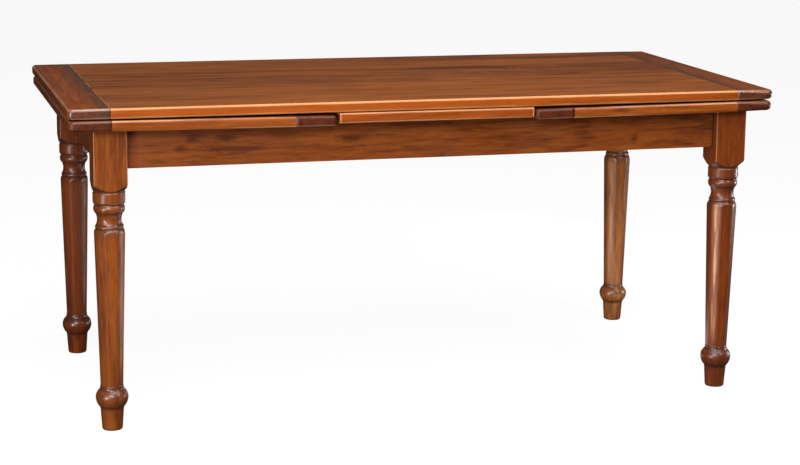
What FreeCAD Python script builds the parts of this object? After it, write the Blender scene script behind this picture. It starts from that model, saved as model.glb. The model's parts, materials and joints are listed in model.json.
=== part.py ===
# Extending dining table: four turned legs, an apron frame, a loose top on a fixed
# centre board, and two leaves that are drawn out on tapered bearers from under the top.
# Millimetres. X runs along the table, Y from front to back, Z up. The origin is on the
# floor, midway between the legs. "left" is the -X end and "front" the -Y side.
import FreeCAD, Part
import os
import re
import Sketcher

os.makedirs("parts", exist_ok=True)
doc = FreeCAD.newDocument("extending_dining_table")

# Driving sizes
sheet = doc.addObject("Spreadsheet::Sheet", "sizes")
DRIVING_SIZES = [
    ("top_length", 1750),
    ("top_width", 840),
    ("table_height", 775),
    ("board_thickness", 25),
    ("board_count", 7),
    ("end_board_width", 97.5),
    ("edge_radius", 6),
    ("corner_radius", 12),
    ("tongue_thickness", 8),
    ("tongue_width", 8),
    ("end_tongue_length", 18),
    ("glue_gap", 0.5),
    ("groove_stop", 20),
    ("centre_board_length", 482),
    ("centre_edge_radius", 5),
    ("felt_thickness", 1.5),
    ("felt_diameter", 25),
    ("felt_inset", 34),
    ("peg_diameter", 16),
    ("peg_reach", 20),
    ("peg_depth", 12),
    ("peg_clearance", 0.3),
    ("peg_spacing", 340),
    ("leaf_gap", 3),
    ("leaf_setback", 2.5),
    ("leaf_droop_degrees", 0.4),
    ("leaf_clearance", 1.05),
    ("leaf_joint_gap", 0.5),
    ("centre_gap", 7),
    ("swing_allowance", 2.3),
    ("leg_square", 78),
    ("block_length", 127),
    ("facet_top_width", 71.2),
    ("facet_bottom_width", 52.8),
    ("end_overhang", 60),
    ("side_overhang", 29),
    ("apron_depth", 93),
    ("apron_thickness", 22),
    ("apron_setback", 20),
    ("apron_corner_radius", 14),
    ("tenon_thickness", 10),
    ("tenon_length", 28),
    ("tenon_shoulder", 14),
    ("mortise_gap", 1),
    ("rail_width", 80),
    ("rail_thickness", 22),
    ("rail_housing", 12),
    ("block_foot", 100),
    ("block_height", 60),
    ("bearer_thickness", 28),
    ("bearer_depth", 42),
    ("bearer_block_clearance", 34),
    ("bearer_spacing", 55),
    ("bearer_inset", 27.5),
    ("bearer_nose", 8),
    ("bearer_tail_cover", 120),
    ("bearer_side_clearance", 0.7),
    ("bearer_fall_clearance", 0.5),
    ("bearer_guide_clearance", 0.8),
    ("rest_dowel_diameter", 10),
    ("rest_dowel_let_in", 10),
    ("running_clearance", 0.05),
    ("stop_pin_diameter", 10),
    ("stop_pin_reach", 9),
    ("stop_pin_cover", 10.5),
    ("stop_pin_gap", 0.4),
    ("closing_pin_diameter", 8),
    ("closing_pin_gap", 2.3),
    ("screw_diameter", 4.4),
    ("screw_head_diameter", 8.6),
    ("screw_head_height", 3),
    ("leaf_screw_length", 26),
    ("leaf_screw_hold", 12),
    ("corner_screw_length", 26),
    ("corner_screw_recess", 4),
    ("rail_screw_length", 32),
    ("overrun", 5),
]
for row, (alias, number) in enumerate(DRIVING_SIZES, start=1):
    sheet.set(f"A{row}", alias)
    sheet.set(f"B{row}", str(number))
    sheet.setAlias(f"B{row}", alias)
doc.recompute()

ALIAS_WORDS = re.compile(r"\b(" + "|".join(alias for alias, number in DRIVING_SIZES) + r")\b")

# Sizes that follow from the driving ones, as expressions of the sheet
droop = "tan(leaf_droop_degrees)"
leg_x = "(top_length / 2 - end_overhang - leg_square / 2)"
leg_y = "(top_width / 2 - side_overhang - leg_square / 2)"
leaf_outer_x = "(top_length / 2 - leaf_setback)"
leaf_inner_x = "(centre_board_length / 2 + centre_gap)"
leaf_length = f"({leaf_outer_x} - {leaf_inner_x})"
leaf_travel = f"(top_length / 2 + leaf_joint_gap + swing_allowance - {leaf_inner_x})"
leaf_top = "(table_height - board_thickness - leaf_gap)"
leaf_low = f"({leaf_top} - board_thickness)"
leg_top = f"({leaf_low} - (end_overhang + leg_square - leaf_setback) * {droop} - leaf_clearance)"
apron_relief = f"({leaf_low} - {leaf_length} * {droop} - leaf_clearance)"
turned_height = f"({leg_top} - block_length)"
apron_low = f"({leg_top} - apron_depth)"
centre_seat = "(table_height - 2 * board_thickness - felt_thickness)"
end_apron_x = "(top_length / 2 - end_overhang - apron_setback - apron_thickness / 2)"
side_apron_y = "(top_width / 2 - side_overhang - apron_setback - apron_thickness / 2)"
side_apron_half = f"({leg_x} - leg_square / 2)"
end_apron_half = f"({leg_y} - leg_square / 2)"
tenon_offset = "(leg_square / 2 - apron_setback - apron_thickness / 2)"
tenon_low = f"({apron_low} + tenon_shoulder)"
tenon_high = f"({apron_relief} - tenon_shoulder)"
field_length = "(top_length - 2 * end_board_width)"
leaf_field_length = f"({leaf_length} - 2 * end_board_width)"
board_width = "(top_width / board_count)"
slot_width = "(bearer_thickness + 2 * bearer_side_clearance)"

# The bearers climb by one board and the gap over the leaf's whole travel.
bearer_slope = f"((board_thickness + leaf_gap) / {leaf_travel})"
bearer_end = f"({leaf_outer_x} + {leaf_travel} - centre_board_length / 2 + bearer_tail_cover)"
bearer_tail_drop = f"({bearer_slope} * ({bearer_end} - {leaf_length}))"
apron_inner_x = f"({end_apron_x} - apron_thickness / 2)"
bearer_fall = (
    f"(bearer_depth + {bearer_slope} * ({leaf_outer_x} - {apron_inner_x} + {leaf_travel} - {leaf_length}))"
)
slot_floor = (
    f"({leaf_low} - ({leaf_outer_x} - {end_apron_x}) * {droop} - {bearer_fall}"
    " - bearer_fall_clearance - rest_dowel_diameter / 2)"
)
rail_ceiling = f"({leaf_low} - {bearer_slope} * ({leaf_inner_x} - rail_width / 2) + bearer_guide_clearance)"
closing_pin_x = (
    f"({leaf_outer_x} - {end_apron_x} - apron_thickness / 2 - closing_pin_diameter / 2 - closing_pin_gap)"
)
stop_pin_x = f"({leaf_outer_x} + {leaf_travel} - {apron_inner_x} + stop_pin_diameter / 2 + stop_pin_gap)"
bearer_far = f"({side_apron_y} - apron_thickness / 2 - block_foot - bearer_block_clearance)"
bearer_near = f"({bearer_far} - bearer_spacing)"
block_inner = "(2 * (leg_square - apron_setback - apron_thickness))"
block_screw_offset = f"((block_foot + {block_inner}) / 2)"
block_mid_height = f"(({apron_low} + {apron_relief}) / 2)"

Z_AXIS = FreeCAD.Vector(0, 0, 1)
Y_AXIS = FreeCAD.Vector(0, 1, 0)
X_AXIS = FreeCAD.Vector(1, 0, 0)
UNTURNED = FreeCAD.Rotation()
HALF_TURN = FreeCAD.Rotation(Z_AXIS, 180)
UP_TO_Y = FreeCAD.Rotation(X_AXIS, -90)
TOUCHING = 1e-4
SIDES = ("left", "right")
CORNERS = ("front_left", "front_right", "back_right", "back_left")
pieces = {}


def x_sign(name):
    """Which way from the middle something lies along the table."""
    return -1 if "left" in name else 1


def y_sign(name):
    """Which way from the middle something lies across the table."""
    return -1 if "front" in name else 1


def corner_turn(corner):
    """Quarter turns that bring the front left corner round to another."""
    return FreeCAD.Rotation(Z_AXIS, 90 * CORNERS.index(corner))


def value(expression):
    """Number that an expression of the sheet has now."""
    return float(sheet.evalExpression(str(expression)))


def bind(thing, name, expression):
    """Tie one property of an object to an expression of the sheet."""
    thing.setExpression(name, ALIAS_WORDS.sub(r"sizes.\1", str(expression)))


def put(thing, x="0", y="0", z="0", rotation=UNTURNED):
    """Turn an object and tie its place to the sheet."""
    thing.Placement = FreeCAD.Placement(FreeCAD.Vector(), rotation)
    bind(thing, "Placement.Base.x", x)
    bind(thing, "Placement.Base.y", y)
    bind(thing, "Placement.Base.z", z)
    return thing


def put_in_leaf(thing, side, x="0", y="0", z="0", rotation=UNTURNED):
    """Place an object in a leaf's own frame: x inwards from its outer end, z up from its top face.

    At rest the leaf droops a little towards the middle of the table, about its outer edge.
    """
    sign = x_sign(side)
    tilt = FreeCAD.Rotation(Y_AXIS, value("leaf_droop_degrees"))
    turn = tilt if side == "left" else HALF_TURN.multiply(tilt)
    along = f"(({x}) * cos(leaf_droop_degrees) + ({z}) * sin(leaf_droop_degrees))"
    up = f"(({z}) * cos(leaf_droop_degrees) - ({x}) * sin(leaf_droop_degrees))"
    return put(
        thing,
        f"({sign}) * ({leaf_outer_x} - {along})",
        f"({-sign}) * ({y})",
        f"{leaf_top} + {up}",
        turn.multiply(rotation),
    )


def keep(thing, label):
    """Name a finished piece."""
    thing.Label = label
    pieces[label] = thing
    return thing


def new_body(name):
    return doc.addObject("PartDesign::Body", name)


def origin_part(body, role):
    return next(part for part in body.Origin.OriginFeatures if part.Role == role)


def new_sketch(body, name, plane, offset="0"):
    sketch = body.newObject("Sketcher::SketchObject", name)
    sketch.AttachmentSupport = (origin_part(body, plane), [""])
    sketch.MapMode = "FlatFace"
    if offset != "0":
        bind(sketch, "AttachmentOffset.Base.z", offset)
    return sketch


def fix_point(sketch, geometry, end, across, up):
    """Tie a point of a sketch to two expressions, or to the axis where one is zero."""
    if across == "0":
        sketch.addConstraint(Sketcher.Constraint("PointOnObject", geometry, end, -2))
    else:
        number = sketch.addConstraint(Sketcher.Constraint("DistanceX", -1, 1, geometry, end, value(across)))
        bind(sketch, f"Constraints[{number}]", across)
    if up == "0":
        sketch.addConstraint(Sketcher.Constraint("PointOnObject", geometry, end, -1))
    else:
        number = sketch.addConstraint(Sketcher.Constraint("DistanceY", -1, 1, geometry, end, value(up)))
        bind(sketch, f"Constraints[{number}]", up)


def draw_polygon(sketch, points):
    """Closed outline of straight lines through points given as expressions."""
    first = sketch.GeometryCount
    count = len(points)
    corners = [FreeCAD.Vector(value(across), value(up), 0) for across, up in points]
    for index in range(count):
        sketch.addGeometry(Part.LineSegment(corners[index], corners[(index + 1) % count]), False)
    for index in range(count):
        following = first + (index + 1) % count
        sketch.addConstraint(Sketcher.Constraint("Coincident", first + index, 2, following, 1))
    for index, (across, up) in enumerate(points):
        fix_point(sketch, first + index, 1, across, up)


def draw_rectangle(sketch, left, low, right, high):
    draw_polygon(sketch, [(left, low), (right, low), (right, high), (left, high)])


def draw_circle(sketch, across, up, radius):
    circle = Part.Circle(FreeCAD.Vector(value(across), value(up), 0), Z_AXIS, value(radius))
    number = sketch.addGeometry(circle, False)
    fix_point(sketch, number, 3, across, up)
    constraint = sketch.addConstraint(Sketcher.Constraint("Radius", number, value(radius)))
    bind(sketch, f"Constraints[{constraint}]", radius)


def pad(body, name, sketch, length):
    """Solid of a given length, half to each side of its sketch."""
    feature = body.newObject("PartDesign::Pad", name)
    feature.Profile = sketch
    feature.SideType = "Symmetric"
    bind(feature, "Length", length)
    return feature


def pocket(body, name, sketch, length):
    """Cut of a given length, half to each side of its sketch."""
    feature = body.newObject("PartDesign::Pocket", name)
    feature.Profile = sketch
    feature.SideType = "Symmetric"
    bind(feature, "Length", length)
    return feature


def round_edges(body, name, radius, wanted):
    """Fillet the edges of the body so far that a test picks out by their box."""
    doc.recompute()
    base = body.Tip
    names = [f"Edge{n}" for n, edge in enumerate(base.Shape.Edges, start=1) if wanted(edge.BoundBox)]
    feature = body.newObject("PartDesign::Fillet", name)
    feature.Base = (base, names)
    bind(feature, "Radius", radius)
    return feature


def near(number, expression):
    return abs(number - value(expression)) < TOUCHING


def cylinder(name, radius, length):
    thing = doc.addObject("Part::Cylinder", name)
    bind(thing, "Radius", radius)
    bind(thing, "Height", length)
    return thing


def centred_on_y(put_function, thing, length, x, y, z, *args):
    """Lay a cylinder of a given length along Y, centred on a point."""
    return put_function(thing, *args, x, f"({y}) - ({length}) / 2", z, UP_TO_Y)


def screw(name, length):
    """Countersunk wood screw, its head at the origin and its point up."""
    head = doc.addObject("Part::Cone", f"{name}_head")
    bind(head, "Radius1", "screw_head_diameter / 2")
    bind(head, "Radius2", "screw_diameter / 2")
    bind(head, "Height", "screw_head_height")
    shank = cylinder(f"{name}_shank", "screw_diameter / 2", length)
    whole = doc.addObject("Part::Fuse", name)
    whole.Base = shank
    whole.Tool = head
    return whole


def group(name, members):
    """Separate solids kept together."""
    whole = doc.addObject("Part::Compound", name)
    whole.Links = members
    return whole


def cut_from(body, name, tool):
    result = doc.addObject("Part::Cut", name)
    result.Base = body
    result.Tool = tool
    return result


# Turned leg
# Each step up the leg: its height as a share of the turned height, its radius and the radius
# of the arc that leads to it as shares of half the leg's square. A plus sign swells, a minus
# sign hollows, and 0 is a straight line.
TURNING_SHARES = [
    (0.0000, 0.579, 0),
    (0.0042, 0.621, 0),
    (0.0742, 0.692, 0),
    (0.0801, 0.718, 0),
    (0.1315, 0.987, 1.270),
    (0.1636, 0.769, 0.654),
    (0.1788, 0.708, -0.310),
    (0.7943, 0.969, 0),
    (0.8153, 0.846, 0.480),
    (0.8187, 0.818, 0),
    (0.8204, 0.844, 0),
    (0.8322, 0.818, 0.205),
    (0.8347, 0.792, 0),
    (0.8803, 0.821, -0.846),
    (0.8828, 0.867, 0),
    (0.9123, 0.882, 0.395),
    (0.9165, 0.862, 0),
    (0.9191, 0.944, 0),
    (0.9258, 0.972, 0),
    (0.9562, 0.972, 0),
    (0.9654, 0.933, 0.154),
    (0.9696, 0.946, 0),
    (1.0000, 1.436, 0),
]
FACET_LOW_SHARE = 0.1788
FACET_HIGH_SHARE = 0.8187
FACET_COUNT = 8
FACET_OUT_SHARE = 1.2
BLOCK_FRAME_SHARE = 2.0


def arc_middle(start, end, radius):
    """Point halfway along an arc from start to end that swells outwards, or inwards if radius < 0."""
    chord = end.sub(start)
    half = chord.Length / 2
    rise = abs(radius) - (radius ** 2 - half ** 2) ** 0.5
    outwards = FreeCAD.Vector(chord.y, -chord.x, 0).normalize()
    middle = start.add(end).multiply(1 / 2)
    return middle.add(outwards.multiply(rise if radius > 0 else -rise))


def draw_turning(sketch):
    """Half outline of the leg, closed along its axis."""
    stops = [(f"{radius} * leg_square / 2", f"{height} * {turned_height}", bend)
             for height, radius, bend in TURNING_SHARES]
    widest = stops[-1][0]
    stops = [("0", "0", 0)] + stops + [(widest, leg_top, 0), ("0", leg_top, 0)]
    corners = [FreeCAD.Vector(value(across), value(up), 0) for across, up, bend in stops]
    ends = []
    for index in range(len(stops)):
        after = (index + 1) % len(stops)
        start, end, bend = corners[index], corners[after], stops[after][2]
        if bend == 0:
            sketch.addGeometry(Part.LineSegment(start, end), False)
            ends.append((1, 2))
            continue
        middle = arc_middle(start, end, value(f"{bend} * leg_square / 2"))
        swells = bend > 0
        sketch.addGeometry(Part.Arc(*((start, middle, end) if swells else (end, middle, start))), False)
        ends.append((1, 2) if swells else (2, 1))
    for index in range(len(stops)):
        after = (index + 1) % len(stops)
        sketch.addConstraint(Sketcher.Constraint("Coincident", index, ends[index][1], after, ends[after][0]))
    for index, (across, up, bend) in enumerate(stops):
        fix_point(sketch, index, ends[index][0], across, up)
    for index in range(len(stops)):
        bend = stops[(index + 1) % len(stops)][2]
        if bend != 0:
            radius = f"{abs(bend)} * leg_square / 2"
            constraint = sketch.addConstraint(Sketcher.Constraint("Radius", index, value(radius)))
            bind(sketch, f"Constraints[{constraint}]", radius)


def leg(corner):
    """Square stock turned below the block, eight flats planed on the shaft, two mortises."""
    label = f"leg_{corner}"
    body = new_body(label)
    outline = new_sketch(body, f"{label}_turning", "XZ_Plane")
    draw_turning(outline)
    turning = body.newObject("PartDesign::Revolution", f"{label}_turned")
    turning.Profile = outline
    turning.ReferenceAxis = (outline, ["V_Axis"])
    turning.Angle = 360

    frame = new_sketch(body, f"{label}_square", "XY_Plane")
    outer = f"{BLOCK_FRAME_SHARE} * leg_square / 2"
    draw_rectangle(frame, f"-{outer}", f"-{outer}", outer, outer)
    draw_rectangle(frame, "-leg_square / 2", "-leg_square / 2", "leg_square / 2", "leg_square / 2")
    pocket(body, f"{label}_faces", frame, f"2 * {leg_top} + 2 * overrun")

    flat = new_sketch(body, f"{label}_flat", "XZ_Plane")
    low = f"{FACET_LOW_SHARE} * {turned_height}"
    high = f"{FACET_HIGH_SHARE} * {turned_height}"
    out = f"{FACET_OUT_SHARE} * leg_square / 2"
    draw_polygon(flat, [("facet_bottom_width / 2", low), (out, low), (out, high), ("facet_top_width / 2", high)])
    facet = pocket(body, f"{label}_facet", flat, "leg_square")
    facets = body.newObject("PartDesign::PolarPattern", f"{label}_facets")
    facets.Originals = [facet]
    facets.Axis = (origin_part(body, "Z_Axis"), [""])
    facets.Angle = 360
    facets.Occurrences = FACET_COUNT
    body.Tip = facets

    depth = "(leg_square / 2 - tenon_length - mortise_gap)"
    beyond = "(leg_square / 2 + overrun)"
    for plane, offset in (("XZ_Plane", tenon_offset), ("YZ_Plane", f"-{tenon_offset}")):
        hole = new_sketch(body, f"{label}_mortise_{plane[:2]}", plane, offset)
        draw_rectangle(hole, depth, tenon_low, beyond, tenon_high)
        pocket(body, f"{label}_mortise_cut_{plane[:2]}", hole, "tenon_thickness")
    put(body, f"({x_sign(corner)}) * {leg_x}", f"({y_sign(corner)}) * {leg_y}", "0", corner_turn(corner))
    keep(body, label)


for corner in CORNERS:
    leg(corner)


# Corner blocks
# A corner's own frame starts where the inner faces of its two aprons meet, with x and y inwards.
def put_in_corner(thing, corner, x="0", y="0", z="0", rotation=UNTURNED):
    along, across = f"({x})", f"({y})"
    for quarter_turn in range(CORNERS.index(corner)):
        along, across = f"-{across}", along
    return put(
        thing,
        f"({x_sign(corner)}) * {apron_inner_x} + ({along})",
        f"({y_sign(corner)}) * ({side_apron_y} - apron_thickness / 2) + ({across})",
        z,
        corner_turn(corner).multiply(rotation),
    )


def corner_screws(corner):
    """Screws and their holes: one from the block into each apron."""
    screws = []
    holes = []
    wells = []
    head_at = f"(block_foot - {block_screw_offset} - corner_screw_recess)"
    directions = {
        "end": (head_at, block_screw_offset, FreeCAD.Rotation(Y_AXIS, -90)),
        "side": (block_screw_offset, head_at, FreeCAD.Rotation(X_AXIS, 90)),
    }
    for name, (x, y, rotation) in directions.items():
        tag = f"{corner}_{name}"
        place = (corner, x, y, block_mid_height, rotation)
        screws.append(put_in_corner(screw(f"corner_screw_{tag}", "corner_screw_length"), *place))
        holes.append(put_in_corner(cylinder(f"corner_hole_{tag}", "screw_diameter / 2", "corner_screw_length"), *place))
        wells.append(put_in_corner(cylinder(f"corner_well_{tag}", "screw_head_diameter / 2", "block_foot / 2"),
                                   corner, x, y, block_mid_height, rotation.multiply(FreeCAD.Rotation(X_AXIS, 180))))
        sink = doc.addObject("Part::Cone", f"corner_sink_{tag}")
        bind(sink, "Radius1", "screw_head_diameter / 2")
        bind(sink, "Radius2", "screw_diameter / 2")
        bind(sink, "Height", "screw_head_height")
        wells.append(put_in_corner(sink, *place))
    return screws, holes, wells


all_corner_screws = []
all_corner_holes = []
for corner in CORNERS:
    screws, holes, wells = corner_screws(corner)
    all_corner_screws += screws
    all_corner_holes += holes
    body = new_body(f"corner_block_{corner}_body")
    plan = new_sketch(body, f"corner_block_{corner}_plan", "XY_Plane")
    draw_polygon(plan, [(block_inner, "0"), ("block_foot", "0"), ("0", "block_foot"), ("0", block_inner)])
    pad(body, f"corner_block_{corner}_pad", plan, "block_height")
    put_in_corner(body, corner, "0", "0", block_mid_height)
    bores = group(f"corner_bores_{corner}", holes + wells)
    keep(cut_from(body, f"corner_block_{corner}", bores), f"corner_block_{corner}")
keep(group("corner_block_screws", all_corner_screws), "corner_block_screws")
corner_pilots = group("corner_pilots", all_corner_holes)


# Aprons
def add_tenons(body, label, plane, half):
    """A tenon at each end of an apron."""
    ends = new_sketch(body, f"{label}_tenon_outline", plane)
    for sign in ("-", ""):
        inner = f"{sign}({half} - overrun)"
        outer = f"{sign}({half} + tenon_length)"
        low_x, high_x = (outer, inner) if sign else (inner, outer)
        draw_rectangle(ends, low_x, tenon_low, high_x, tenon_high)
    pad(body, f"{label}_tenons", ends, "tenon_thickness")


def side_apron(label, rotation, eased_corner):
    """Long apron, lower under the leaves and raised in the middle to carry the centre board."""
    body = new_body(f"{label}_body")
    board = new_sketch(body, f"{label}_outline", "XZ_Plane")
    step = "centre_board_length / 2"
    draw_polygon(board, [
        (f"-{side_apron_half}", apron_low),
        (side_apron_half, apron_low),
        (side_apron_half, apron_relief),
        (step, apron_relief),
        (step, centre_seat),
        (f"-{step}", centre_seat),
        (f"-{step}", apron_relief),
        (f"-{side_apron_half}", apron_relief),
    ])
    pad(body, f"{label}_board", board, "apron_thickness")
    if eased_corner:
        def lower_right(box):
            upright = near(box.XMin, side_apron_half) and near(box.XMax, side_apron_half)
            return upright and near(box.ZMax, apron_low)
        round_edges(body, f"{label}_eased_corner", "apron_corner_radius", lower_right)
    add_tenons(body, label, "XZ_Plane", side_apron_half)
    housing = new_sketch(body, f"{label}_housing", "XY_Plane", centre_seat)
    draw_rectangle(housing, "-rail_width / 2", "apron_thickness / 2 - rail_housing",
                   "rail_width / 2", "apron_thickness / 2 + overrun")
    pocket(body, f"{label}_housing_cut", housing, "2 * rail_thickness")
    put(body, "0", f"({y_sign(label)}) * {side_apron_y}", "0", rotation)
    return keep(cut_from(body, label, corner_pilots), label)


side_apron("front_apron", UNTURNED, True)
side_apron("back_apron", HALF_TURN, False)

# Offsets of a leaf's two bearers from the middle, in the leaf's own frame
BEARERS = {"far": bearer_far, "near": f"-{bearer_near}"}
rest_dowel_length = f"({slot_width} + 2 * rest_dowel_let_in)"


def end_apron(label, rotation):
    """Short apron with two slots for the bearers and a rest dowel across the bottom of each."""
    body = new_body(f"{label}_body")
    board = new_sketch(body, f"{label}_outline", "YZ_Plane")
    points = [(f"-{end_apron_half}", apron_low), (end_apron_half, apron_low), (end_apron_half, leg_top)]
    for offset in BEARERS.values():
        near_side = f"({offset} - {slot_width} / 2)"
        far_side = f"({offset} + {slot_width} / 2)"
        points += [(far_side, leg_top), (far_side, slot_floor), (near_side, slot_floor), (near_side, leg_top)]
    points.append((f"-{end_apron_half}", leg_top))
    draw_polygon(board, points)
    pad(body, f"{label}_board", board, "apron_thickness")
    add_tenons(body, label, "YZ_Plane", end_apron_half)
    for name, offset in BEARERS.items():
        bore = new_sketch(body, f"{label}_{name}_bore", "XZ_Plane", f"-({offset})")
        draw_circle(bore, "0", slot_floor, "rest_dowel_diameter / 2 + running_clearance")
        pocket(body, f"{label}_{name}_bore_cut", bore, f"{rest_dowel_length} + 2 * running_clearance")
    put(body, f"({x_sign(label)}) * {end_apron_x}", "0", "0", rotation)
    keep(cut_from(body, label, corner_pilots), label)


end_apron("left_end_apron", UNTURNED)
end_apron("right_end_apron", HALF_TURN)

for side in SIDES:
    sign = x_sign(side)
    dowels = []
    for name, offset in BEARERS.items():
        dowel = cylinder(f"{side}_{name}_rest_dowel", "rest_dowel_diameter / 2", rest_dowel_length)
        dowels.append(centred_on_y(put, dowel, rest_dowel_length,
                                   f"({sign}) * {end_apron_x}", f"({-sign}) * ({offset})", slot_floor))
    keep(group(f"{side}_rest_dowels", dowels), f"{side}_rest_dowels")

# Centre rail: ties the long aprons, holds the centre board down and guides the four bearers
RAIL_SCREW_SHARES = (-0.8, -0.25, 0.25, 0.8)
rail_half = f"({side_apron_y} - apron_thickness / 2 + rail_housing)"
rail_low = f"({centre_seat} - rail_thickness)"
rail_body = new_body("centre_rail_body")
rail_outline = new_sketch(rail_body, "centre_rail_outline", "YZ_Plane")
rail_points = [(f"-{rail_half}", rail_low)]
for offset in (f"-{bearer_far}", f"-{bearer_near}", bearer_near, bearer_far):
    rail_points += [
        (f"({offset} - {slot_width} / 2)", rail_low),
        (f"({offset} - {slot_width} / 2)", rail_ceiling),
        (f"({offset} + {slot_width} / 2)", rail_ceiling),
        (f"({offset} + {slot_width} / 2)", rail_low),
    ]
rail_points += [(rail_half, rail_low), (rail_half, centre_seat), (f"-{rail_half}", centre_seat)]
draw_polygon(rail_outline, rail_points)
pad(rail_body, "centre_rail_pad", rail_outline, "rail_width")

rail_screws = []
rail_holes = []
for number, share in enumerate(RAIL_SCREW_SHARES):
    place = ("0", f"{share} * {rail_half}", rail_low)
    rail_screws.append(put(screw(f"rail_screw_{number}", "rail_screw_length"), *place))
    rail_holes.append(put(screw(f"rail_hole_{number}", "rail_screw_length"), *place))
rail_bores = group("rail_bores", rail_holes)
keep(cut_from(rail_body, "centre_rail", rail_bores), "centre_rail")
keep(group("centre_board_screws", rail_screws), "centre_board_screws")

# Fixed centre board, with holes for the guide pegs of the loose top
centre_body = new_body("centre_board_body")
centre_plan = new_sketch(centre_body, "centre_board_plan", "XY_Plane")
draw_rectangle(centre_plan, "-centre_board_length / 2", "-top_width / 2", "centre_board_length / 2", "top_width / 2")
pad(centre_body, "centre_board_pad", centre_plan, "board_thickness")


def long_edge(box):
    return near(box.ZMin, box.ZMax) and near(abs(box.YMin), "top_width / 2") and near(box.YMin, box.YMax)


round_edges(centre_body, "centre_board_edges", "centre_edge_radius", long_edge)
peg_holes = new_sketch(centre_body, "peg_holes", "XY_Plane")
for sign in ("-", ""):
    draw_circle(peg_holes, f"{sign}peg_spacing / 2", "0", "peg_diameter / 2 + peg_clearance")
pocket(centre_body, "peg_holes_cut", peg_holes, "2 * board_thickness")
put(centre_body, "0", "0", f"{centre_seat} + board_thickness / 2")
keep(cut_from(centre_body, "centre_board", rail_bores), "centre_board")

pads = []
for along in ("-", ""):
    for across in ("-", ""):
        felt = cylinder(f"felt_{len(pads)}", "felt_diameter / 2", "felt_thickness")
        put(felt, f"{along}(centre_board_length / 2 - felt_inset)", f"{across}(top_width / 2 - felt_inset)",
            f"{centre_seat} + board_thickness")
        pads.append(felt)
keep(group("felt_pads", pads), "felt_pads")


# Boards of the top and of the leaves
def long_board(name, length, groove, tongue):
    """Lengthwise board: a groove at its front edge, a tongue at its back edge and one at each end."""
    body = new_body(name)
    section = new_sketch(body, f"{name}_section", "YZ_Plane")
    points = [("0", "-board_thickness / 2"), (board_width, "-board_thickness / 2")]
    if tongue:
        tip = f"({board_width} + tongue_width - glue_gap)"
        points += [(board_width, "-tongue_thickness / 2"), (tip, "-tongue_thickness / 2"),
                   (tip, "tongue_thickness / 2"), (board_width, "tongue_thickness / 2")]
    points += [(board_width, "board_thickness / 2"), ("0", "board_thickness / 2")]
    if groove:
        points += [("0", "tongue_thickness / 2"), ("tongue_width", "tongue_thickness / 2"),
                   ("tongue_width", "-tongue_thickness / 2"), ("0", "-tongue_thickness / 2")]
    draw_polygon(section, points)
    pad(body, f"{name}_pad", section, length)
    ends = new_sketch(body, f"{name}_end_tongues", "YZ_Plane")
    draw_rectangle(ends, "tongue_width" if groove else "groove_stop", "-tongue_thickness / 2",
                   board_width if tongue else f"({board_width} - groove_stop)", "tongue_thickness / 2")
    pad(body, f"{name}_end_tongues_pad", ends, f"{length} + 2 * end_tongue_length")
    plain_edges = [edge for edge, shaped in (("0", groove), (board_width, tongue)) if not shaped]

    def outer_arris(box):
        on_edge = any(near(box.YMin, edge) and near(box.YMax, edge) for edge in plain_edges)
        return on_edge and near(box.ZMin, box.ZMax) and near(box.XLength, length)

    if plain_edges:
        round_edges(body, f"{name}_arris", "edge_radius", outer_arris)
    return body


def end_board(name):
    """Cross board that caps the lengthwise boards; x runs outwards from the seam."""
    body = new_body(name)
    plan = new_sketch(body, f"{name}_plan", "XY_Plane")
    draw_rectangle(plan, "0", "-top_width / 2", "end_board_width", "top_width / 2")
    pad(body, f"{name}_pad", plan, "board_thickness")

    def outer_corner(box):
        return near(box.XMin, "end_board_width") and near(box.ZLength, "board_thickness")

    def rim(box):
        return near(box.ZMin, box.ZMax) and box.XMax > value("end_board_width") / 2

    round_edges(body, f"{name}_corners", "corner_radius", outer_corner)
    round_edges(body, f"{name}_rim", "edge_radius", rim)
    groove = new_sketch(body, f"{name}_groove", "XZ_Plane")
    draw_rectangle(groove, "0", "-tongue_thickness / 2", "end_tongue_length + glue_gap", "tongue_thickness / 2")
    pocket(body, f"{name}_groove_cut", groove, "top_width - 2 * groove_stop")
    return body


board_count = int(value("board_count"))
middle_board = (board_count + 1) // 2
top_mid = "(table_height - board_thickness / 2)"

# Loose top
peg_length = "(peg_depth + peg_reach)"
pegs = []
peg_bores = []
for number, sign in enumerate(("-", "")):
    place = (f"{sign}peg_spacing / 2", "0", "table_height - board_thickness - peg_reach")
    pegs.append(put(cylinder(f"peg_{number}", "peg_diameter / 2", peg_length), *place))
    peg_bores.append(put(cylinder(f"peg_bore_{number}", "peg_diameter / 2", peg_length), *place))
keep(group("top_guide_pegs", pegs), "top_guide_pegs")
peg_tool = group("peg_bores", peg_bores)

for number in range(1, board_count + 1):
    label = f"top_board_{number}"
    has_pegs = number == middle_board
    body = long_board(f"{label}_body" if has_pegs else label, field_length, number > 1, number < board_count)
    put(body, "0", f"-top_width / 2 + {number - 1} * {board_width}", top_mid)
    keep(cut_from(body, label, peg_tool) if has_pegs else body, label)
for side in SIDES:
    body = end_board(f"{side}_top_end_board")
    put(body, f"({x_sign(side)}) * {field_length} / 2", "0", top_mid, HALF_TURN if side == "left" else UNTURNED)
    keep(body, f"{side}_top_end_board")

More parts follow.
